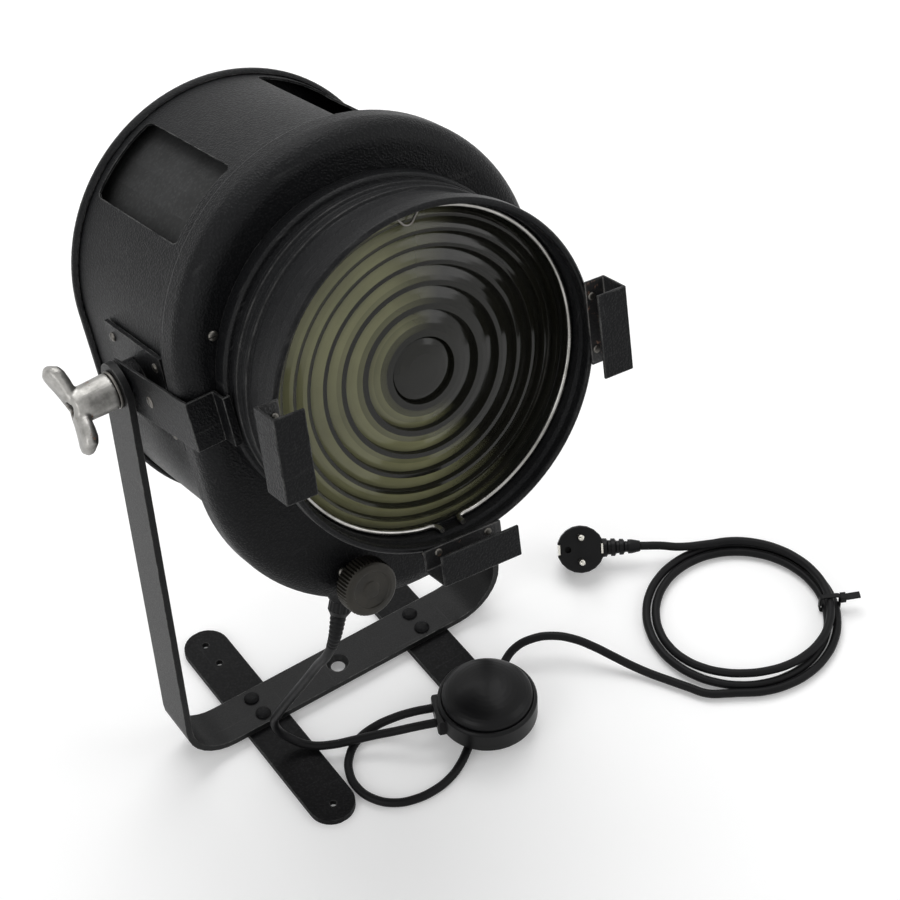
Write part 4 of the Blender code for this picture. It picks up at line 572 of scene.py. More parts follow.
def primer_rust(name):
    """Bare inside faces: red-brown primer, bare steel and rust over crackle paint, whose crests are painted
    paler as a painted glint.
    """
    material, tree, shader, place = begin(name)
    coat = use(tree, crackle_paint(), {"Place": place, "Grain": 0.0013})
    bloom = use(tree, rust_bloom(), {"Place": place, "Amount": 0.42, "Scale": 70.0})
    worn = use(tree, edge_wear(), {"Place": place, "Amount": 0.75})["Mask"]
    # Painted glint: the crackle's crests are paler than the paint
    body = mixed(tree, coat["Crest"], (0.006, 0.006, 0.0065), (0.016, 0.016, 0.017))
    reddish = mixed(tree, bloom["Tone"], (0.13, 0.055, 0.033), (0.27, 0.16, 0.115))
    body = mixed(tree, bloom["Mask"], body, reddish)
    body = mixed(tree, worn, body, (0.34, 0.32, 0.3))
    dull = spread(tree, coat["Height"], 0.0, 1.0, 0.62, 0.46)
    connect(tree, shader, {"Base Color": body, "Roughness": dull,
                           "Metallic": maths(tree, "MULTIPLY", worn, 0.6),
                           "Normal": bumped(tree, coat["Height"], 0.35, 0.0004)})
    return material


def make_finishes():
    """Every finish by its name."""
    look = finishes()
    paint, wear, grain = tuple(look.paint), look.wear, look.crackle
    steel = (0.34, 0.34, 0.33)
    return {
        "black_crackle": painted("black_crackle", paint, steel, wear, 0.035, grain, 0.44, 0.5),
        "cast_black": painted("cast_black", paint, (0.5, 0.49, 0.47), wear * 1.3, 0.03, grain * 0.8,
                              0.42, 0.35),
        "foot_black": painted("foot_black", (0.003, 0.003, 0.0034), steel, wear * 0.5, 0.015,
                              grain * 1.4, 0.5, 0.25, 0.08),
        "worn_steel": painted("worn_steel", (0.009, 0.0091, 0.0093), (0.3, 0.3, 0.29), wear, 0.03,
                              grain * 0.7, 0.42, 0.12, 0.12),
        "inner_sheet": painted("inner_sheet", (0.008, 0.008, 0.0075), steel, wear, 0.35, 0.003, 0.6, 0.1),
        "channel_inside": primer_rust("channel_inside"),
        "cast_alloy": bare_metal("cast_alloy", (0.44, 0.43, 0.41), (0.15, 0.147, 0.138), 0.38, 0.36,
                                 0.5, 0.9),
        "spring_steel": bare_metal("spring_steel", (0.46, 0.45, 0.43), (0.2, 0.195, 0.18), 0.26, 0.12),
        "plated_steel": bare_metal("plated_steel", (0.2, 0.19, 0.175), (0.06, 0.057, 0.05), 0.42, 0.3),
        "turned_brass": bare_metal("turned_brass", (0.026, 0.023, 0.017), (0.009, 0.008, 0.006), 0.45,
                                   0.1, 0.4, 0.5),
        "contact_metal": bare_metal("contact_metal", (0.72, 0.7, 0.64), (0.45, 0.43, 0.38), 0.24, 0.05),
        "mirror_metal": bare_metal("mirror_metal", (0.86, 0.86, 0.85), (0.72, 0.72, 0.7), 0.08, 0.0, 0.05),
        # The lens's near-black colour is painted shade that stands for the dark inside of the lamp; its
        # painted highlight lies on the lamp's left
        "lens_glass": lens_glass("lens_glass", tuple(look.glass), (0.012, 0.012, 0.008), 0.13, 0.2, 0.5,
                                 0.1, BARREL.to_3x3() @ Vector((-0.97, 0, -0.1)),
                                 BARREL @ Vector((0, -LENS_FRONT * MM, 0))),
        # The bulb's glass is painted a little paler on one side: a painted highlight
        "lamp_glass": lens_glass("lamp_glass", (0.93, 0.93, 0.9), (0.86, 0.86, 0.83), 0.03, 0.1, 0.97, 0.5),
        "ceramic": moulded("ceramic", (0.72, 0.69, 0.63), 0.3, 0.1, 500.0, 0.06, 0.3),
        "cord_rubber": moulded("cord_rubber", tuple(look.rubber), 0.42, 0.01, 1400.0, 0.1, 0.0, 0.12),
        "switch_plastic": moulded("switch_plastic", (0.004, 0.004, 0.0044), 0.32, 0.01, 1100.0, 0.06,
                                  0.02, 0.14),
    }


# The finishes by name, filled when they are made
FINISH = {}


# Mesh building

def world(points, matrix):
    """Points in millimetres of a frame, as points of the scene."""
    return [matrix @ (Vector(point) * MM) for point in points]


def smooth(mesh, angle=CRISP_ANGLE):
    """Shade a mesh smooth, with edges sharper than the angle kept crisp."""
    mesh.polygons.foreach_set("use_smooth", [True] * len(mesh.polygons))
    mesh.set_sharp_from_angle(angle=math.radians(angle))
    return mesh


def mesh_of(name, bm, angle=CRISP_ANGLE):
    """Turn a bmesh into a smooth mesh with outward faces."""
    bmesh.ops.recalc_face_normals(bm, faces=bm.faces)
    mesh = bpy.data.meshes.new(name)
    bm.to_mesh(mesh)
    bm.free()
    return smooth(mesh, angle)


def lofted(name, rings, closed=False, angle=CRISP_ANGLE):
    """A skin over rings of points: capped at both ends, or joined end to end."""
    bm = bmesh.new()
    rows = [[bm.verts.new(point) for point in ring] for ring in rings]
    pairs = list(zip(rows, rows[1:]))
    if closed:
        pairs.append((rows[-1], rows[0]))
    for near, far in pairs:
        for i in range(len(near)):
            j = (i + 1) % len(near)
            bm.faces.new((near[i], near[j], far[j], far[i]))
    if not closed:
        bm.faces.new(rows[0])
        bm.faces.new(list(reversed(rows[-1])))
    return mesh_of(name, bm, angle)


def rounded(profile, radius, closed):
    """A profile whose corners are broken by a small radius."""
    count = len(profile)
    result = []
    for i, corner in enumerate(profile):
        if not closed and i in (0, count - 1):
            result.append(tuple(corner))
            continue
        corner = Vector(corner)
        before = Vector(profile[i - 1]) - corner
        after = Vector(profile[(i + 1) % count]) - corner
        reach = min(radius, before.length * 0.42, after.length * 0.42)
        first = corner + before.normalized() * reach
        last = corner + after.normalized() * reach
        middle = first * 0.25 + corner * 0.5 + last * 0.25
        result += [tuple(first), tuple(middle), tuple(last)]
    return result


def lathe(name, profile, matrix, steps=None, closed=False, radius=0.5, flute=None, angle=CRISP_ANGLE):
    """Turn (radius, along) points about the frame's Z axis, along +Z, with its edges broken."""
    steps = steps or measures().round_steps
    rings = []
    for reach, along in rounded(profile, radius, closed):
        ring = []
        for i in range(steps):
            turn = 2 * math.pi * i / steps
            spoke = max(AXIS, reach - (flute(turn, along) if flute else 0.0))
            ring.append((spoke * math.cos(turn), spoke * math.sin(turn), along))
        rings.append(world(ring, matrix))
    return lofted(name, rings, closed, angle)


def along_lens(matrix):
    """A frame whose Z axis runs out through the lens."""
    return matrix @ Matrix.Rotation(math.radians(90), 4, "X")


def obround(radius, along):
    """A ring round the drum's section, in the lamp's frame."""
    half = measures().round_steps // 2
    ring = []
    for centre, start in ((DRUM_CENTRES[0], 0), (DRUM_CENTRES[1], math.pi)):
        for i in range(half + 1):
            turn = start + math.pi * i / half
            ring.append((radius * math.cos(turn), -along, centre + radius * math.sin(turn)))
    return ring


def arc(centre, radius, start, end, steps):
    """Points along an arc in a plane, both ends included."""
    return [(centre[0] + radius * math.cos(start + (end - start) * i / steps),
             centre[1] + radius * math.sin(start + (end - start) * i / steps)) for i in range(steps + 1)]


def carve(mesh, tools, operation="DIFFERENCE", bevel=0.0):
    """Cut a mesh with tool meshes, or join them to it, and break the new edges."""
    body = bpy.data.objects.new("carved", mesh)
    bpy.context.scene.collection.objects.link(body)
    cutters = []
    for tool in tools:
        cutter = bpy.data.objects.new("carver", tool)
        bpy.context.scene.collection.objects.link(cutter)
        cutters.append(cutter)
        change = body.modifiers.new("cut", "BOOLEAN")
        change.operation = operation
        change.object = cutter
    if bevel:
        edge = body.modifiers.new("edge", "BEVEL")
        edge.width = bevel
        edge.segments = 2
        edge.limit_method = "ANGLE"
        edge.angle_limit = math.radians(CUT_ANGLE)
    graph = bpy.context.evaluated_depsgraph_get()
    result = bpy.data.meshes.new_from_object(body.evaluated_get(graph))
    for item in [body] + cutters:
        bpy.data.objects.remove(item)
    return smooth(result)


def drill(radius, start, end, matrix, steps=32):
    """A round cutter along a frame's Z axis."""
    profile = [(AXIS, start), (radius, start), (radius, end), (AXIS, end)]
    return lathe("hole", profile, matrix, steps, radius=0.0)


def piece(name, mesh, finish, body, stands_for=()):
    """Put a finished mesh in the scene on its body, in place of the nodes that it stands for."""
    made = bpy.data.objects.new(name, mesh)
    bpy.context.scene.collection.objects.link(made)
    mesh.materials.clear()
    mesh.materials.append(FINISH[finish])
    flats = made.modifiers.new("flats", "WEIGHTED_NORMAL")
    flats.keep_sharp = True
    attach(made, body)
    if stands_for:
        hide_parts(*stands_for)
    return made


def dressed(node, finish=None, width=None, segments=2, fine=0.0):
    """A node's own form with its flats merged and its edges broken, or made anew in fine cells."""
    bm = bmesh.new()
    bm.from_mesh(frame["nodes"][node].data)
    bmesh.ops.remove_doubles(bm, verts=bm.verts, dist=0.00002)
    bmesh.ops.dissolve_limit(bm, angle_limit=math.radians(1), verts=bm.verts, edges=bm.edges)
    mesh = mesh_of(node, bm)
    made = bpy.data.objects.new("shaping", mesh)
    bpy.context.scene.collection.objects.link(made)
    if fine:
        cells = made.modifiers.new("cells", "REMESH")
        cells.mode = "VOXEL"
        cells.voxel_size = fine
        settle = made.modifiers.new("settle", "SMOOTH")
        settle.factor = 0.5
        settle.iterations = 8
    else:
        edge = made.modifiers.new("edge", "BEVEL")
        edge.width = width or measures().edge_radius
        edge.segments = segments
        edge.limit_method = "ANGLE"
        edge.angle_limit = math.radians(BROKEN_ANGLE)
    graph = bpy.context.evaluated_depsgraph_get()
    result = bpy.data.meshes.new_from_object(made.evaluated_get(graph))
    bpy.data.objects.remove(made)
    smooth(result, 60 if fine else 34)
    return piece(node + "_form", result, finish or SLOT_OF[node], BODY_OF[node], stands_for=(node,))


def screw(name, matrix, radius, height, body, finish="plated_steel", slotted=True):
    """A domed screw head with a slot, standing on a frame's XY plane."""
    profile = [(AXIS, -0.4), (radius, -0.4), (radius, height * 0.3), (radius * 0.8, height * 0.8),
               (radius * 0.4, height), (AXIS, height)]
    mesh = lathe(name, profile, matrix, 32, radius=radius * 0.12)
    if slotted:
        long, half = radius * 1.2, radius * 0.12
        rows = [[(-long, -half, level), (long, -half, level), (long, half, level), (-long, half, level)]
                for level in (height * 0.45, height * 2)]
        mesh = carve(mesh, [lofted("slot", [world(row, matrix) for row in rows])])
    return piece(name, mesh, finish, body)


# The stage

class LAMP_OT_stage(bpy.types.Operator):
    """Make the camera, the lights, the world and the floor"""

    bl_idname = "theatre_lamp.stage"
    bl_label = "Stage"

    def execute(self, context):
        scene = context.scene
        scene.view_settings.view_transform = "Standard"
        turn, lift, roll = (math.radians(angle) for angle in CAMERA_ANGLES)
        back = Vector((math.sin(turn) * math.cos(lift), -math.cos(turn) * math.cos(lift), math.sin(lift)))
        level = Vector((math.cos(turn), math.sin(turn), 0))
        upright = back.cross(level)
        right = level * math.cos(roll) + upright * math.sin(roll)
        up = upright * math.cos(roll) - level * math.sin(roll)
        camera = bpy.data.objects.new("camera", bpy.data.cameras.new("camera"))
        scene.collection.objects.link(camera)
        view = Matrix((right, up, back)).transposed().to_4x4()
        camera.matrix_world = Matrix.Translation(CAMERA_TARGET + back * CAMERA_DISTANCE) @ view
        camera.data.sensor_width = SENSOR_WIDTH
        camera.data.lens = CAMERA_FOCUS / PICTURE_WIDTH * SENSOR_WIDTH
        scene.camera = camera
        self.light_room(scene)
        self.lay_floor(scene)
        return {"FINISHED"}

    def light_room(self, scene):
        """Soft lamps above and beside the object, and a white world for what the camera sees."""
        for name, place, size, power in STAGE_LAMPS:
            data = bpy.data.lights.new(name, "AREA")
            data.size = size
            data.energy = power
            lamp = bpy.data.objects.new(name, data)
            lamp.location = place
            lamp.rotation_euler = (LIT_POINT - Vector(place)).to_track_quat("-Z", "Y").to_euler()
            scene.collection.objects.link(lamp)
        room = bpy.data.worlds.new("room")
        scene.world = room
        room.use_nodes = True
        tree = room.node_tree
        ray = put(tree, "ShaderNodeLightPath").outputs
        mirrored = maths(tree, "MULTIPLY", ray["Is Glossy Ray"], 0.9)
        seen = maths(tree, "MAXIMUM", ray["Is Camera Ray"],
                     maths(tree, "MAXIMUM", ray["Is Transmission Ray"], mirrored))
        strength = spread(tree, seen, 0.0, 1.0, 0.5, 1.0)
        connect(tree, tree.nodes["Background"], {"Color": (1, 1, 1, 1), "Strength": strength})

    def lay_floor(self, scene):
        """A wide pale floor that keeps the object's shadow, with a painted shade round the object, where its
        glow is weaker.
        """
        colour = tuple(finishes().floor)
        material, tree, shader, place = begin("floor")
        tone = spread(tree, noise(tree, place, 3.0, 3.0), 0.3, 0.7)
        body = mixed(tree, tone, shaded(colour, 0.99), colour)
        ray = put(tree, "ShaderNodeLightPath").outputs
        seen = maths(tree, "MAXIMUM", ray["Is Camera Ray"],
                     maths(tree, "MAXIMUM", ray["Is Transmission Ray"], ray["Is Glossy Ray"]))
        # Painted shade: the glow that the camera sees is weaker near the object and stronger far from it
        lift = spread(tree, vector(tree, "LENGTH", place), 0.5, 2.5, 0.17, 0.55)
        connect(tree, shader, {"Base Color": body, "Roughness": 0.75, "Emission Color": (1, 1, 1, 1),
                               "Emission Strength": maths(tree, "MULTIPLY", seen, lift)})
        bm = bmesh.new()
        for x, y in ((-1, -1), (1, -1), (1, 1), (-1, 1)):
            bm.verts.new((x * FLOOR_REACH, y * FLOOR_REACH, -FLOOR_DROP))
        bm.faces.new(bm.verts)
        mesh = mesh_of("floor", bm)
        mesh.materials.append(material)
        floor = bpy.data.objects.new("floor", mesh)
        scene.collection.objects.link(floor)


# The cords

def eased(value, start, end):
    """A smooth step from 0 at start to 1 at end."""
    share = max(0.0, min(1.0, (value - start) / (end - start)))
    return share * share * (3 - 2 * share)


def catmull(before, start, end, after, share):
    """A point between start and end on a centripetal curve through four knots."""
    t1 = math.sqrt((start - before).length)
    t2 = t1 + math.sqrt((end - start).length)
    t3 = t2 + math.sqrt((after - end).length)
    t = t1 + (t2 - t1) * share
    a1 = before * ((t1 - t) / t1) + start * (t / t1)
    a2 = start * ((t2 - t) / (t2 - t1)) + end * ((t - t1) / (t2 - t1))
    a3 = end * ((t3 - t) / (t3 - t2)) + after * ((t - t2) / (t3 - t2))
    b1 = a1 * ((t2 - t) / t2) + a2 * (t / t2)
    b2 = a2 * ((t3 - t) / (t3 - t1)) + a3 * ((t - t1) / (t3 - t1))
    return b1 * ((t2 - t) / (t2 - t1)) + b2 * ((t - t1) / (t2 - t1))


def route(knots, spacing):
    """Evenly spaced points along a smooth curve through the knots."""
    knots = [Vector(knot) for knot in knots]
    padded = [knots[0] * 2 - knots[1]] + knots + [knots[-1] * 2 - knots[-2]]
    dense = [catmull(*padded[i - 1:i + 3], step / 24)
             for i in range(1, len(padded) - 2) for step in range(24)]
    dense.append(knots[-1])
    lengths = [0.0]
    for first, second in zip(dense, dense[1:]):
        lengths.append(lengths[-1] + (second - first).length)
    count = max(2, round(lengths[-1] / spacing))
    points, at = [], 0
    for i in range(count + 1):
        target = lengths[-1] * i / count
        while at < len(lengths) - 2 and lengths[at + 1] < target:
            at += 1
        share = (target - lengths[at]) / (lengths[at + 1] - lengths[at])
        points.append(dense[at].lerp(dense[at + 1], share))
    return points


def cord_curve(name, points):
    """A cord as one open curve through points in millimetres of the stand's frame."""
    data = bpy.data.curves.new(name, "CURVE")
    data.dimensions = "3D"
    data.bevel_depth = CORD_RADIUS * MM
    data.bevel_resolution = 6
    data.resolution_u = measures().cord_steps
    data.use_fill_caps = True
    spline = data.splines.new("BEZIER")
    spline.bezier_points.add(len(points) - 1)
    for knot, point in zip(spline.bezier_points, world(points, STAND)):
        knot.co = point
        knot.handle_left_type = "AUTO"
        knot.handle_right_type = "AUTO"
    data.materials.append(FINISH["cord_rubber"])
    made = bpy.data.objects.new(name, data)
    bpy.context.scene.collection.objects.link(made)
    bpy.context.view_layer.update()
    return made, spline.calc_length()


def coil_point(turn):
    """A point of the coil's centre line: two turns on the floor, the rest on top of them."""
    angle = COIL_START + 2 * math.pi * turn
    radius = COIL_RADIUS - COIL_SPACING * min(turn, 1.95) + COIL_SPACING * 1.15 * eased(turn, 1.98, 2.35)
    height = COIL_HEIGHT + COIL_RISE * eased(turn, 1.8, 2.08)
    return Vector((COIL_PLACE[0] + radius * math.cos(angle), COIL_PLACE[1] + radius * math.sin(angle),
                   height))


class LAMP_OT_cords(bpy.types.Operator):
    """Lay the cord from the lamp to the foot switch, and from the switch by its coil to the plug"""

    bl_idname = "theatre_lamp.cords"
    bl_label = "Cords"

    def execute(self, context):
        self.hang_lamp_cord()
        count = round(COIL_TURNS * COIL_STEPS)
        coil = [coil_point(COIL_TURNS * i / count) for i in range(count + 1)]
        start_way = (coil[0] - coil[1]).normalized()
        start = coil[0] + start_way * 2 * CORD_RADIUS
        end_way = (coil[-1] - coil[-2]).normalized()
        end = coil[-1] + end_way * 2 * CORD_RADIUS
        around = CORD_AROUND + (start + start_way * 12.3, start + start_way * 0.3)
        to_plug = (end, end + end_way * 10.3, PLUG_CORD_END + PLUG_SLEEVE_WAY * 9, PLUG_CORD_END)
        points = route(around, KNOT_SPACING) + coil + route(to_plug, PLUG_KNOT_SPACING)[1:]
        floor_cord, length = cord_curve("floor_cord", points)
        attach(floor_cord, "stand")
        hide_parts("cord_to_coil", "cord_coil", "cord_to_plug")
        return {"FINISHED"}

    def hang_lamp_cord(self):
        """The cord from the gland down to the switch, as one fixed mesh."""
        curve, length = cord_curve("lamp_cord", route(CORD_DOWN, KNOT_SPACING))
        spline = curve.data.splines[0].bezier_points
        path = []
        for first, second in zip(spline, spline[1:]):
            path += interpolate_bezier(first.co, first.handle_right, second.handle_left, second.co, 7)[:-1]
        path.append(spline[-1].co.copy())
        graph = bpy.context.evaluated_depsgraph_get()
        mesh = smooth(bpy.data.meshes.new_from_object(curve.evaluated_get(graph)), 60)
        bpy.data.objects.remove(curve)
        mesh.materials.clear()
        mesh.materials.append(FINISH["cord_rubber"])
        made = bpy.data.objects.new("lamp_cord", mesh)
        bpy.context.scene.collection.objects.link(made)
        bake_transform(made)
        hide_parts("cord_to_lamp")


def tube_mesh(name, points, matrix, radius, resolution):
    """A round wire through points in millimetres of a frame, as a mesh."""
    data = bpy.data.curves.new(name, "CURVE")
    data.dimensions = "3D"
    data.bevel_depth = radius * MM
    data.bevel_resolution = resolution
    data.use_fill_caps = True
    data.resolution_u = 4
    spline = data.splines.new("BEZIER")
    spline.bezier_points.add(len(points) - 1)
    for knot, point in zip(spline.bezier_points, world(points, matrix)):
        knot.co = point
        knot.handle_left_type = "AUTO"
        knot.handle_right_type = "AUTO"
    holder = bpy.data.objects.new(name, data)
    bpy.context.scene.collection.objects.link(holder)
    graph = bpy.context.evaluated_depsgraph_get()
    mesh = bpy.data.meshes.new_from_object(holder.evaluated_get(graph))
    bpy.data.objects.remove(holder)
    return smooth(mesh, 50)


def kept(node, finish):
    """Give a node that stays as it is its finish."""
    data = frame["nodes"][node].data
    data.materials.clear()
    data.materials.append(FINISH[finish])


class LAMP_OT_finishes(bpy.types.Operator):
    """Make the painted, metal, glass, rubber and plastic finishes"""

    bl_idname = "theatre_lamp.finishes"
    bl_label = "Finishes"

    def execute(self, context):
        FINISH.clear()
        FINISH.update(make_finishes())
        for node, finish in (("light_baffle", "inner_sheet"), ("slide_rail_left", "plated_steel"),
                             ("slide_rail_right", "plated_steel"), ("focus_spindle", "plated_steel"),
                             ("mirror_post", "inner_sheet"), ("pivot_spacer_left", "black_crackle"),
                             ("pivot_spacer_right", "black_crackle")):
            kept(node, finish)
        return {"FINISHED"}


class LAMP_OT_yoke(bpy.types.Operator):
    """Dress the yoke, its cross foot and the bolts that join them"""

    bl_idname = "theatre_lamp.yoke"
    bl_label = "Yoke And Foot"

    def execute(self, context):
        dressed("yoke")
        for side in ("left", "right"):
            dressed("foot_strip_" + side, "foot_black")
        for number in range(1, 5):
            node = "foot_bolt_" + str(number)
            low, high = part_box(node)
            middle = (low + high) / 2
            radius = (high.x - low.x) / 2 / MM
            place = Matrix.Translation((middle.x, middle.y, high.z - BOLT_HEAD * MM))
            head = screw(node + "_head", place, radius, BOLT_HEAD, "stand", "foot_black", False)
            outline = [(AXIS, -BOLT_SHANK_DEPTH), (BOLT_SHANK_RADIUS, -BOLT_SHANK_DEPTH),
                       (BOLT_SHANK_RADIUS, -0.2), (AXIS, -0.2)]
            shank = lathe(node + "_shank", outline, place, 24)
            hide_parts(node)
            piece(node + "_shank", shank, "plated_steel", "stand")
        return {"FINISHED"}


class LAMP_OT_lamp_house(bpy.types.Operator):
    """Make the drum with its vent windows, the slotted rear cover and the pressed front plate"""

    bl_idname = "theatre_lamp.lamp_house"
    bl_label = "Lamp House"

    def execute(self, context):
        self.make_drum()
        self.make_rear_cover()
        self.make_front_plate()
        for x, z in FACE_SCREWS:
            place = along_lens(LAMP @ Matrix.Translation((x * MM, -(SHOULDER_FACE + 0.1) * MM, z * MM)))
            screw("face_screw", place, 3.4, 1.9, "housing")
        return {"FINISHED"}

    def skin(self, name, profile, closed, radius=0.7):
        """A pressed sheet form of the drum's section."""
        return lofted(name, [world(obround(reach, along), LAMP)
                             for reach, along in rounded(profile, radius, closed)], closed)

    def make_drum(self):
        """The drum steps out to a band in front, and has a window cut in each upper side."""
        step = DRUM_FRONT + BAND_RADIUS - DRUM_RADIUS
        profile = [(DRUM_RADIUS, DRUM_REAR), (DRUM_RADIUS, DRUM_FRONT), (BAND_RADIUS, step),
                   (BAND_RADIUS, BAND_FRONT), (BAND_RADIUS - SHEET, BAND_FRONT),
                   (BAND_RADIUS - SHEET, step + SHEET / 2), (DRUM_RADIUS - SHEET, DRUM_FRONT + SHEET / 2),
                   (DRUM_RADIUS - SHEET, DRUM_REAR)]
        tools = []
        for side in (-1, 1):
            tools.append(self.cut_window(side))
            hole = LAMP @ Matrix.Rotation(side * math.radians(90), 4, "Y")
            tools.append(drill(STUD_HOLE, DRUM_RADIUS - 8, DRUM_RADIUS + 8, hole))
        drum = carve(self.skin("drum", profile, True), tools, bevel=0.0004)
        piece("drum", drum, "black_crackle", "housing", stands_for=("housing_shell",))

    def cut_window(self, side):
        """The cutter of a vent window with eased corners, in the drum's left or right side."""
        rear, front = WINDOW_SPAN
        rows = []
        for along, width in ((rear, 0), (rear + 2, 0.6), (rear + 4, 1),
                             (front - 4, 1), (front - 2, 0.6), (front, 0)):
            low = WINDOW_ANGLES[0] + WINDOW_CORNER * (1 - width)
            high = WINDOW_ANGLES[1] - WINDOW_CORNER * (1 - width)
            section = []
            for radius, way in ((DRUM_RADIUS + 6, 1), (DRUM_RADIUS - 6, -1)):
                turns = [low + (high - low) * i / 16 for i in range(17)][::way]
                section += [(side * radius * math.cos(math.radians(turn)), -along,
                             DRUM_CENTRES[0] + radius * math.sin(math.radians(turn))) for turn in turns]
            rows.append(world(section, LAMP))
        return lofted("window", rows)

    def make_rear_cover(self):
        """A rolled rim, a raised panel and five cooling slots."""
        skirt, face = DRUM_RADIUS + GAP, REAR_INSIDE - SHEET
        inside, front = REAR_PANEL_FACE + SHEET, REAR_INSIDE + 8
        profile = [(REAR_PANEL, REAR_PANEL_FACE), (REAR_PANEL + 4, REAR_PANEL_FACE + 2),
                   (REAR_PANEL + 9, face), (DRUM_RADIUS - 1, face), (REAR_RIM - 1.5, face + 2),
                   (REAR_RIM, face + 4), (REAR_RIM, front - 2), (REAR_RIM - 2, front), (skirt, front),
                   (skirt, REAR_INSIDE + SHEET), (skirt - 4, REAR_INSIDE), (REAR_PANEL + 8.1, REAR_INSIDE),
                   (REAR_PANEL + 3.1, inside + 2), (REAR_PANEL, inside)]
        tools = []
        for i in range(REAR_SLOTS):
            centre = sum(DRUM_CENTRES) / 2 + REAR_SLOT_PITCH * (i - REAR_SLOTS // 2)
            outline = (arc((REAR_SLOT_HALF, centre), REAR_SLOT_RADIUS, -math.pi / 2, math.pi / 2, 10)
                       + arc((-REAR_SLOT_HALF, centre), REAR_SLOT_RADIUS, math.pi / 2, 1.5 * math.pi, 10))
            tools.append(lofted("slot", [world([(x, -along, z) for x, z in outline], LAMP)
                                         for along in (REAR_PANEL_FACE - 4, inside + 4)]))
        cover = carve(self.skin("cover", profile, False, 1.4), tools, bevel=0.0003)
        piece("rear_pan", cover, "black_crackle", "housing", stands_for=("rear_cover",))

    def make_front_plate(self):
        """A deep pan with a big rolled edge, the barrel's opening and the boss of the focus screw."""
        corner = (SHOULDER_RADIUS - SHOULDER_ROLL, SHOULDER_FACE - SHOULDER_ROLL)
        flat = SHOULDER_RADIUS - SHOULDER_ROLL * 2.6
        outer = ([(flat, SHOULDER_FACE)] + arc(corner, SHOULDER_ROLL, math.pi / 2, 0, 12)
                 + [(SHOULDER_RADIUS, SHOULDER_REAR + 4), (SHOULDER_RADIUS - 1.2, SHOULDER_REAR + 1.2),
                    (SHOULDER_RADIUS - 3, SHOULDER_REAR)])
        inner = ([(BAND_RADIUS + GAP, SHOULDER_REAR), (BAND_RADIUS + GAP, SHOULDER_REAR + 2),
                  (SHOULDER_RADIUS - SHOULDER_SHEET, SHOULDER_REAR + 5)]
                 + arc(corner, SHOULDER_ROLL - SHOULDER_SHEET, 0, math.pi / 2, 12)
                 + [(flat, SHOULDER_FACE - SHOULDER_SHEET)])
        pan = self.skin("pan", outer + inner, False, 0.3)
        hub = along_lens(FOCUS_HUB)
        boss = lathe("boss", [(AXIS, 84), (FOCUS_BOSS_RADIUS, 84), (FOCUS_BOSS_RADIUS, FOCUS_BOSS_FACE - 1),
                              (FOCUS_BOSS_RADIUS - 0.6, FOCUS_BOSS_FACE), (AXIS, FOCUS_BOSS_FACE)], hub, 48)
        pan = carve(pan, [boss], "UNION")
        opening = drill(BARREL_SPIGOT + 0.7, 89, 107, along_lens(EYE), measures().round_steps)
        pan = carve(pan, [opening, drill(FOCUS_SCREW_HOLE, SHOULDER_REAR, 108, hub)], bevel=0.0003)
        piece("front_pan", pan, "black_crackle", "housing", stands_for=("front_plate",))


class LAMP_OT_pivots(bpy.types.Operator):
    """Dress the pivot plates, straps, washers and nut, and make the cast wing knob"""

    bl_idname = "theatre_lamp.pivots"
    bl_label = "Tilt Pivot"

    def execute(self, context):
        for side in ("left", "right"):
            for name in ("pivot_plate_", "catch_strap_", "inner_washer_", "washer_"):
                dressed(name + side, width=0.0005)
            dressed("pivot_stud_" + side, width=0.0004)
        dressed("pivot_nut", width=0.0006)
        dressed("tilt_knob", fine=0.0009)
        for side in (-1, 1):
            outward = Matrix.Rotation(side * math.radians(90), 4, "Y")
            for x, along, z, radius, height in PLATE_SCREWS:
                spot = Matrix.Translation((side * x * MM, -along * MM, z * MM))
                screw("plate_screw", LAMP @ spot @ outward, radius, height, "housing")
        return {"FINISHED"}


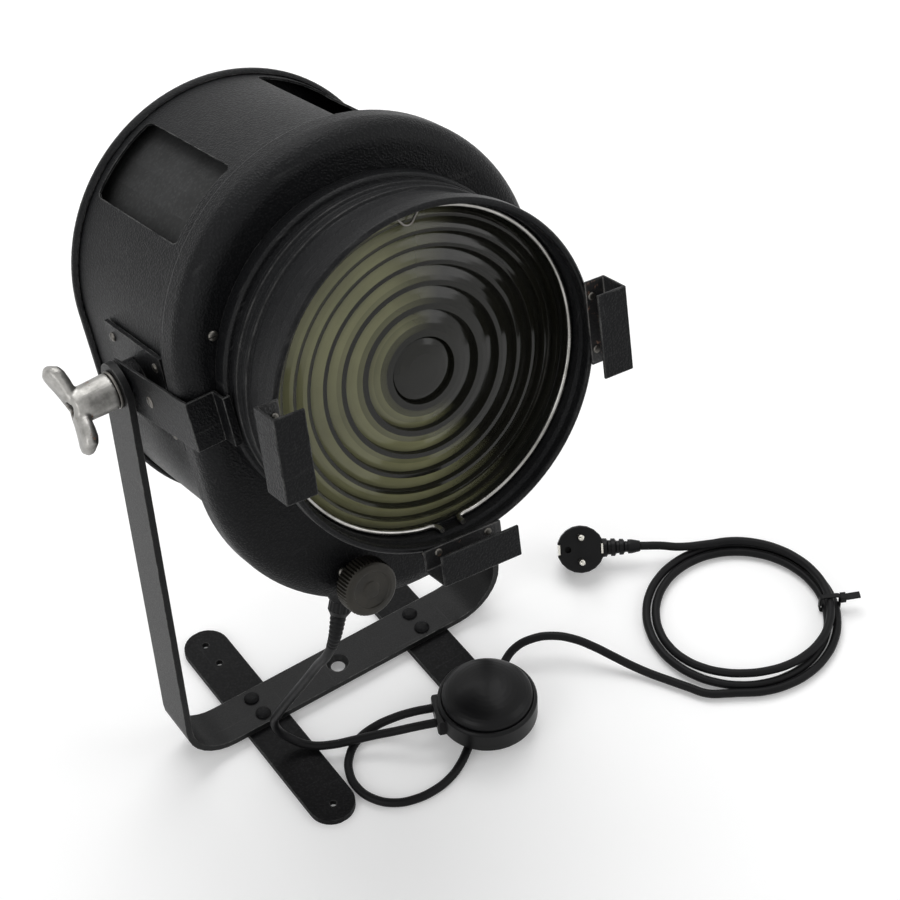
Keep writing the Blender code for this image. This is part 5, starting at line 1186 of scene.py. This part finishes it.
class LAMP_OT_barrel(bpy.types.Operator):
    """Turn the ribbed barrel, press the stepped lens and bend the wires that hold it"""

    bl_idname = "theatre_lamp.barrel"
    bl_label = "Barrel And Lens"

    def execute(self, context):
        self.turn_barrel()
        self.press_lens()
        self.bend_wires()
        return {"FINISHED"}

    def turn_barrel(self):
        """A spigot in the front plate, a flange against it, two ribs and the flared rim."""
        seat, back, wall, rib = SHOULDER_FACE + GAP, SHOULDER_FACE - SPIGOT_DEPTH, BARREL_WALL, BARREL_RIB
        bore = LENS_RADIUS + WIRE_RADIUS + 0.4
        outer = [(BARREL_SPIGOT, back), (BARREL_SPIGOT, seat), (FLANGE_RADIUS, seat),
                 (FLANGE_RADIUS, FLANGE_FRONT - 2.2), (FLANGE_RADIUS - 1.4, FLANGE_FRONT - 0.4),
                 (wall, FLANGE_FRONT)]
        for start in RIB_STARTS:
            outer += [(wall, start), (rib, start + 1.4), (rib, start + 5), (wall, start + 6.4)]
        outer += [(wall, RIM_FRONT - 30), (rib, RIM_FRONT - 28), (rib, RIM_FRONT - 16),
                  (RIM_RADIUS, RIM_FRONT - 10), (RIM_RADIUS, RIM_FRONT - 1.5), (RIM_RADIUS - 1.5, RIM_FRONT)]
        inner = [(RIM_RADIUS - 3.2, RIM_FRONT), (RIM_RADIUS - 4.2, RIM_FRONT - 1.5),
                 (RIM_RADIUS - 4.2, RIM_FRONT - 6.5), (bore, RIM_FRONT - 9.5), (bore, LENS_FRONT + GAP),
                 (LENS_RADIUS + GAP, LENS_FRONT + GAP), (LENS_RADIUS + GAP, LENS_REAR - GAP),
                 (LENS_RADIUS - 6, LENS_REAR - GAP), (LENS_RADIUS - 6, LENS_REAR - 8),
                 (LENS_RADIUS - 7.5, LENS_REAR - 10), (LENS_RADIUS - 7.5, back + 2),
                 (LENS_RADIUS - 6.5, back)]
        barrel = lathe("barrel", outer + inner, along_lens(BARREL), closed=True, radius=0.6)
        piece("ribbed_barrel", barrel, "cast_black", "barrel", stands_for=("lens_barrel",))

    def press_lens(self):
        """A flat back, and a front of sloped rings round a domed middle."""
        low = LENS_FRONT - LENS_STEP
        profile = [(AXIS, LENS_REAR), (LENS_RADIUS, LENS_REAR), (LENS_RADIUS, LENS_FRONT - 1)]
        for edge, start in zip(LENS_ZONES[::-1], LENS_ZONES[-2::-1]):
            reach = edge - start - 0.5
            profile.append((edge, low))
            profile += [(edge - reach * share, low + LENS_STEP * math.sin(share * math.pi / 2))
                        for share in (0.25, 0.5, 0.75, 1.0)]
        profile.append((LENS_ZONES[0], low))
        profile += [(LENS_ZONES[0] * math.cos(turn), low + LENS_STEP * math.sin(turn))
                    for turn in (0.35, 0.7, 1.05, 1.35)]
        profile.append((AXIS, LENS_FRONT))
        lens = lathe("lens", profile, along_lens(BARREL), radius=0.18, angle=24)
        piece("stepped_lens", lens, "lens_glass", "barrel", stands_for=("fresnel_lens",))

    def bend_wires(self):
        """The sprung ring with its two posts below, and the bent clip above."""
        along = LENS_FRONT + GAP + WIRE_RADIUS
        ring = []
        for i in range(73):
            turn = -math.pi / 2 + WIRE_OPENING + (2 * math.pi - 2 * WIRE_OPENING) * i / 72
            ring.append(Vector((LENS_RADIUS * math.cos(turn), -along, LENS_RADIUS * math.sin(turn))))
        for index, neighbour in ((0, 1), (-1, -2)):
            tip = ring[index]
            onward = (tip - ring[neighbour]).normalized()
            post = [tip + onward * 1.6 + Vector((0, -1.4, 0)), tip + onward * 2.4 + Vector((0, -8, 0))]
            ring = (post[::-1] + ring) if index == 0 else (ring + post)
        mesh = tube_mesh("wire_ring", ring, BARREL, WIRE_RADIUS, 6)
        piece("wire_ring", mesh, "spring_steel", "barrel", stands_for=("lens_wire_ring",))
        ahead = along + WIRE_RADIUS + 1.1
        shape = [(-12, -1.4), (-9, -0.6), (-5.5, -3.6), (-2, -7.4), (2, -7.4), (5.5, -3.6), (9, -0.6),
                 (12, -1.4)]
        clip = [(x, -ahead, LENS_RADIUS + WIRE_RADIUS - 1.4 + drop) for x, drop in shape]
        mesh = tube_mesh("wire_clip", clip, BARREL, CLIP_WIRE_RADIUS, 4)
        piece("wire_clip", mesh, "plated_steel", "barrel", stands_for=("lens_clip",))


class LAMP_OT_channels(bpy.types.Operator):
    """Dress the three frame channels, bare and rusty inside, with their rivets"""

    bl_idname = "theatre_lamp.channels"
    bl_label = "Frame Channels"

    def execute(self, context):
        for label, turn in CHANNEL_TURNS:
            made = dressed("frame_channel_" + label, width=0.0004)
            made.data.materials.append(FINISH["channel_inside"])
            frame_at = BARREL @ Matrix.Rotation(math.radians(turn), 4, "Y")
            hollow = frame_at @ (Vector(CHANNEL_HOLLOW) * MM)
            for face in made.data.polygons:
                if (hollow - face.center).dot(face.normal) > CHANNEL_SKIN * MM:
                    face.material_index = 1
            for z in (-RIVET_REACH, RIVET_REACH):
                place = Vector((LENS_RADIUS + 6.5, -(RIM_FRONT + 2.3), z)) * MM
                spot = frame_at @ Matrix.Translation(place)
                screw("channel_rivet", along_lens(spot), 2.6, 1.3, "barrel", slotted=False)
        return {"FINISHED"}


class LAMP_OT_focus(bpy.types.Operator):
    """Turn the gripped focus knob"""

    bl_idname = "theatre_lamp.focus"
    bl_label = "Focus Knob"

    def execute(self, context):
        back, front, wide = FOCUS_KNOB_BACK, FOCUS_KNOB_BACK + FOCUS_KNOB_DEPTH, FOCUS_KNOB_RADIUS
        grips = measures().focus_grips

        def flute(turn, along):
            """Depth of the grooves, which run out at the knob's ends."""
            return 0.75 * (0.5 - 0.5 * math.cos(grips * turn)) if back + 1 < along < front - 1.5 else 0.0

        profile = [(AXIS, back), (wide - 2.6, back), (wide - 0.2, back + 1.5), (wide, back + 2.5),
                   (wide, front - 3), (wide - 0.4, front - 1.6), (wide - 1.7, front - 0.6), (14.5, front),
                   (13, front), (12.4, front - 0.8), (6.2, front - 1.1), (5.4, front - 0.5),
                   (AXIS, front - 0.3)]
        knob = lathe("knob", profile, along_lens(FOCUS_HUB), grips * 8, radius=0.3, flute=flute)
        piece("grip_knob", knob, "turned_brass", "focus_screw", stands_for=("focus_knob",))
        return {"FINISHED"}


class LAMP_OT_inside(bpy.types.Operator):
    """Make the carriage's lampholder, the lamp with its filament, and the mirror"""

    bl_idname = "theatre_lamp.inside"
    bl_label = "Lamp And Mirror"

    def execute(self, context):
        dressed("lamp_carriage", width=0.0004)
        lamp_place = LAMP @ Matrix.Translation((0, LAMP_ALONG * MM, 0))
        self.make_holder(lamp_place)
        self.make_bulb(lamp_place)
        self.bend_filament(lamp_place)
        self.make_mirror(lamp_place)
        return {"FINISHED"}

    def make_holder(self, place):
        """A glazed socket with a foot and a groove."""
        base, top, wide = HOLDER_BASE, HOLDER_TOP, HOLDER_RADIUS
        holder = [(AXIS, base), (wide + 3, base), (wide + 3, base + 7.5), (wide, base + 10),
                  (wide, base + 20), (wide - 1.2, base + 21), (wide - 1.2, base + 23), (wide, base + 24),
                  (wide, top), (wide - 4, top), (wide - 4, base + 12), (AXIS, base + 12)]
        socket = lathe("socket", holder, place, 64, radius=0.8)
        piece("socket", socket, "ceramic", "carriage", stands_for=("lampholder",))

    def make_bulb(self, place):
        """The thin glass envelope over its metal cap."""
        base, top, wide = HOLDER_BASE, HOLDER_TOP, BULB_RADIUS
        outside = [(12.7, top + 0.5), (13.7, top + 6), (17.6, top + 16), (wide, top + 26), (wide, 30),
                   (18.9, 39), (11, 44.5), (0.3, 46)]
        glass = outside + [(max(0.2, reach - GLASS), height - (GLASS if height > 40 else 0))
                           for reach, height in reversed(outside)]
        envelope = lathe("envelope", glass, place, 64, closed=True, radius=2.5, angle=60)
        piece("lamp_envelope", envelope, "lamp_glass", "carriage", stands_for=("bulb",))
        cap = [(AXIS, base + 12.3), (12.7, base + 12.3), (13.7, base + 13.3), (13.7, top + 0.2),
               (AXIS, top + 0.2)]
        piece("lamp_cap", lathe("cap", cap, place, 48), "contact_metal", "carriage")

    def bend_filament(self, place):
        """Two wires up from the cap, and the coiled wire between them."""
        for side in (-1, 1):
            leg = [(side * 3, 0, HOLDER_TOP), (side * 4, 0, -40), (side * 7.5, 0, -8), (side * 8, 0, 4)]
            wire = tube_mesh("wire", leg, place, 0.6, 3)
            piece("lamp_wire", wire, "spring_steel", "carriage")
        coil = [(-8 + 16 * i / 144, FILAMENT_RADIUS * math.cos(math.pi * i / 6),
                 4 + FILAMENT_RADIUS * math.sin(math.pi * i / 6)) for i in range(145)]
        filament = tube_mesh("filament", coil, place, 0.3, 2)
        piece("filament", filament, "spring_steel", "carriage")

    def make_mirror(self, place):
        """A shallow round bowl behind the lamp."""
        bowl = []
        for radius, steps in ((MIRROR_RADIUS + MIRROR_SHEET, range(17)),
                              (MIRROR_RADIUS, range(16, -1, -1))):
            for i in steps:
                turn = MIRROR_OPENING * i / 16
                bowl.append((max(AXIS, radius * math.sin(turn)), -radius * math.cos(turn)))
        centre = along_lens(place @ Matrix.Translation((0, 0, 10 * MM)))
        reflector = lathe("reflector", bowl, centre, 96, radius=0.1)
        piece("reflector", reflector, "mirror_metal", "carriage", stands_for=("mirror",))


class LAMP_OT_gland(bpy.types.Operator):
    """Make the cord gland under the front plate and the tapered sleeve that the cord leaves by"""

    bl_idname = "theatre_lamp.gland"
    bl_label = "Gland And Sleeve"

    def execute(self, context):
        outward = Vector((-math.sin(GLAND_ANGLE), 0, -math.cos(GLAND_ANGLE)))
        foot = Vector((0, -GLAND_ALONG, DRUM_CENTRES[1])) + outward * (SHOULDER_RADIUS + GAP)
        turn = outward.to_track_quat("Z", "Y").to_matrix().to_4x4()
        axis = LAMP @ Matrix.Translation(foot * MM) @ turn

        def flute(turn, along):
            """Grip grooves on the gland's nut."""
            return 0.5 * (0.5 - 0.5 * math.cos(16 * turn)) if 6.5 < along < 13 else 0.0

        profile = [(AXIS, 0.4), (9, 0.4), (9, 5.4), (7.8, 6.1), (7.8, 13.3), (5.6, 17), (AXIS, 17)]
        nut = lathe("gland", profile, axis, 128, flute=flute)
        piece("gland_nut", nut, "switch_plastic", "housing", stands_for=("cord_gland",))
        self.make_sleeve()
        return {"FINISHED"}

    def make_sleeve(self):
        """A ribbed rubber sleeve that narrows along the cord's first stretch."""
        line = [STAND @ (point * MM) for point in route(CORD_DOWN[:5], 1.0)]
        count = int(measures().sleeve_length / MM)
        turns = [2 * math.pi * step / 24 for step in range(24)]
        rings = []
        for i in range(count + 1):
            share = i / count
            groove = SLEEVE_GROOVE if i % 3 == 1 and 0 < i < count - 1 else 0.0
            radius = SLEEVE_RADIUS - SLEEVE_TAPER * share - groove
            ahead = (line[i + 1] - line[i]).normalized()
            side = ahead.cross(Vector((1, 0, 0))).normalized()
            third = ahead.cross(side)
            rings.append([line[i] + (side * math.cos(turn) + third * math.sin(turn)) * radius * MM
                          for turn in turns])
        sleeve = lofted("sleeve", rings)
        piece("cord_sleeve", sleeve, "cord_rubber", "housing")


class LAMP_OT_switch(bpy.types.Operator):
    """Turn the round foot switch, with its cord block and the pads under its base"""

    bl_idname = "theatre_lamp.switch"
    bl_label = "Foot Switch"

    def execute(self, context):
        place = STAND @ Matrix.Translation(Vector(SWITCH_PLACE) * MM)
        wide, seat = SWITCH_RADIUS, SWITCH_CAP_RADIUS + GAP
        profile = [(AXIS, 0), (wide - 2, 0), (wide, 2), (wide, 18), (wide - 1.4, 20), (seat, 20),
                   (seat, 14), (AXIS, 14)]
        base = lathe("base", profile, place, radius=0.6)
        base = carve(base, [self.cord_block(place)], "UNION", bevel=0.0004)
        piece("switch_tub", base, "switch_plastic", "stand", stands_for=("switch_base",))
        dome = lathe("dome", self.dome_profile(), place, radius=0.3, angle=50)
        piece("switch_dome", dome, "switch_plastic", "switch_cap", stands_for=("switch_cap",))
        for turn in SWITCH_PAD_TURNS:
            spoke = Matrix.Rotation(math.radians(turn), 4, "Z") @ Matrix.Translation((27 * MM, 0, 0))
            outline = [(AXIS, -1.2), (4, -1.2), (4.6, -0.4), (4.6, 0), (AXIS, 0)]
            piece("switch_pad", lathe("pad", outline, place @ spoke, 24), "cord_rubber", "stand")
        return {"FINISHED"}

    def cord_block(self, place):
        """The block that both cords enter, with its outer edges eased."""
        half = Vector((SWITCH_FACING.y, -SWITCH_FACING.x, 0)) * SWITCH_BLOCK_HALF
        rows = []
        for reach, inset in ((34.3, 0), (SWITCH_BLOCK_END - 1.2, 0), (SWITCH_BLOCK_END, 1.2)):
            share = 1 - inset / SWITCH_BLOCK_HALF
            corners = ((-1, 1.5 + inset), (1, 1.5 + inset), (1, 16 - inset), (-1, 16 - inset))
            rows.append(world([SWITCH_FACING * reach + side * half * share + Vector((0, 0, z))
                               for side, z in corners], place))
        return lofted("block", rows)

    def dome_profile(self):
        """The outline of the pressed cap: a short wall under a flat dome."""
        wide, wall, rise = SWITCH_CAP_RADIUS, 21, 12
        profile = [(AXIS, 17.6), (wide - 0.6, 17.6), (wide, 18.2), (wide, wall)]
        profile += [(wide * math.cos(math.radians(turn)), wall + rise * math.sin(math.radians(turn)))
                    for turn in range(8, 89, 8)]
        return profile + [(AXIS, wall + rise)]


class LAMP_OT_plug(bpy.types.Operator):
    """Dress the angled mains plug with its pins and earth contacts, and the cord's tie"""

    bl_idname = "theatre_lamp.plug"
    bl_label = "Plug And Tie"

    def execute(self, context):
        dressed("plug_body", width=0.0008, segments=3)
        for node in ("plug_earth_1", "plug_earth_2", "plug_pin_1", "plug_pin_2"):
            dressed(node, width=0.0003)
        dressed("cable_tie", "cord_rubber", width=0.0003)
        return {"FINISHED"}


PIECES = (LAMP_OT_cords, LAMP_OT_yoke, LAMP_OT_lamp_house, LAMP_OT_pivots, LAMP_OT_barrel, LAMP_OT_channels,
          LAMP_OT_focus, LAMP_OT_inside, LAMP_OT_gland, LAMP_OT_switch, LAMP_OT_plug)


class LAMP_PT_dressing(bpy.types.Panel):
    """Lists the operators and the settings of the dressing."""

    bl_idname = "LAMP_PT_dressing"
    bl_label = "Theatre Lamp"
    bl_space_type = "VIEW_3D"
    bl_region_type = "UI"
    bl_category = "Theatre Lamp"

    def draw(self, context):
        column = self.layout.column(align=True)
        for maker in (LAMP_OT_finishes, LAMP_OT_stage) + PIECES:
            column.operator(maker.bl_idname)
        for settings in (measures(), finishes()):
            box = self.layout.box()
            for key in settings.bl_rna.properties.keys():
                if key not in ("rna_type", "name"):
                    box.prop(settings, key)


CLASSES = (LampMeasures, LampFinishes, LAMP_OT_finishes, LAMP_OT_stage) + PIECES + (LAMP_PT_dressing,)


def register():
    for item in CLASSES:
        bpy.utils.register_class(item)
    bpy.types.Scene.lamp_measures = bpy.props.PointerProperty(type=LampMeasures)
    bpy.types.Scene.lamp_finishes = bpy.props.PointerProperty(type=LampFinishes)


def unregister():
    del bpy.types.Scene.lamp_finishes
    del bpy.types.Scene.lamp_measures
    for item in reversed(CLASSES):
        bpy.utils.unregister_class(item)


def main():
    register()
    bpy.ops.theatre_lamp.finishes()
    bpy.ops.theatre_lamp.stage()
    bpy.ops.theatre_lamp.plug()
    bpy.ops.theatre_lamp.gland()
    bpy.ops.theatre_lamp.cords()
    bpy.ops.theatre_lamp.yoke()
    bpy.ops.theatre_lamp.lamp_house()
    bpy.ops.theatre_lamp.pivots()
    bpy.ops.theatre_lamp.barrel()
    bpy.ops.theatre_lamp.channels()
    bpy.ops.theatre_lamp.focus()
    bpy.ops.theatre_lamp.inside()
    bpy.ops.theatre_lamp.switch()


if __name__ == "__main__":
    main()
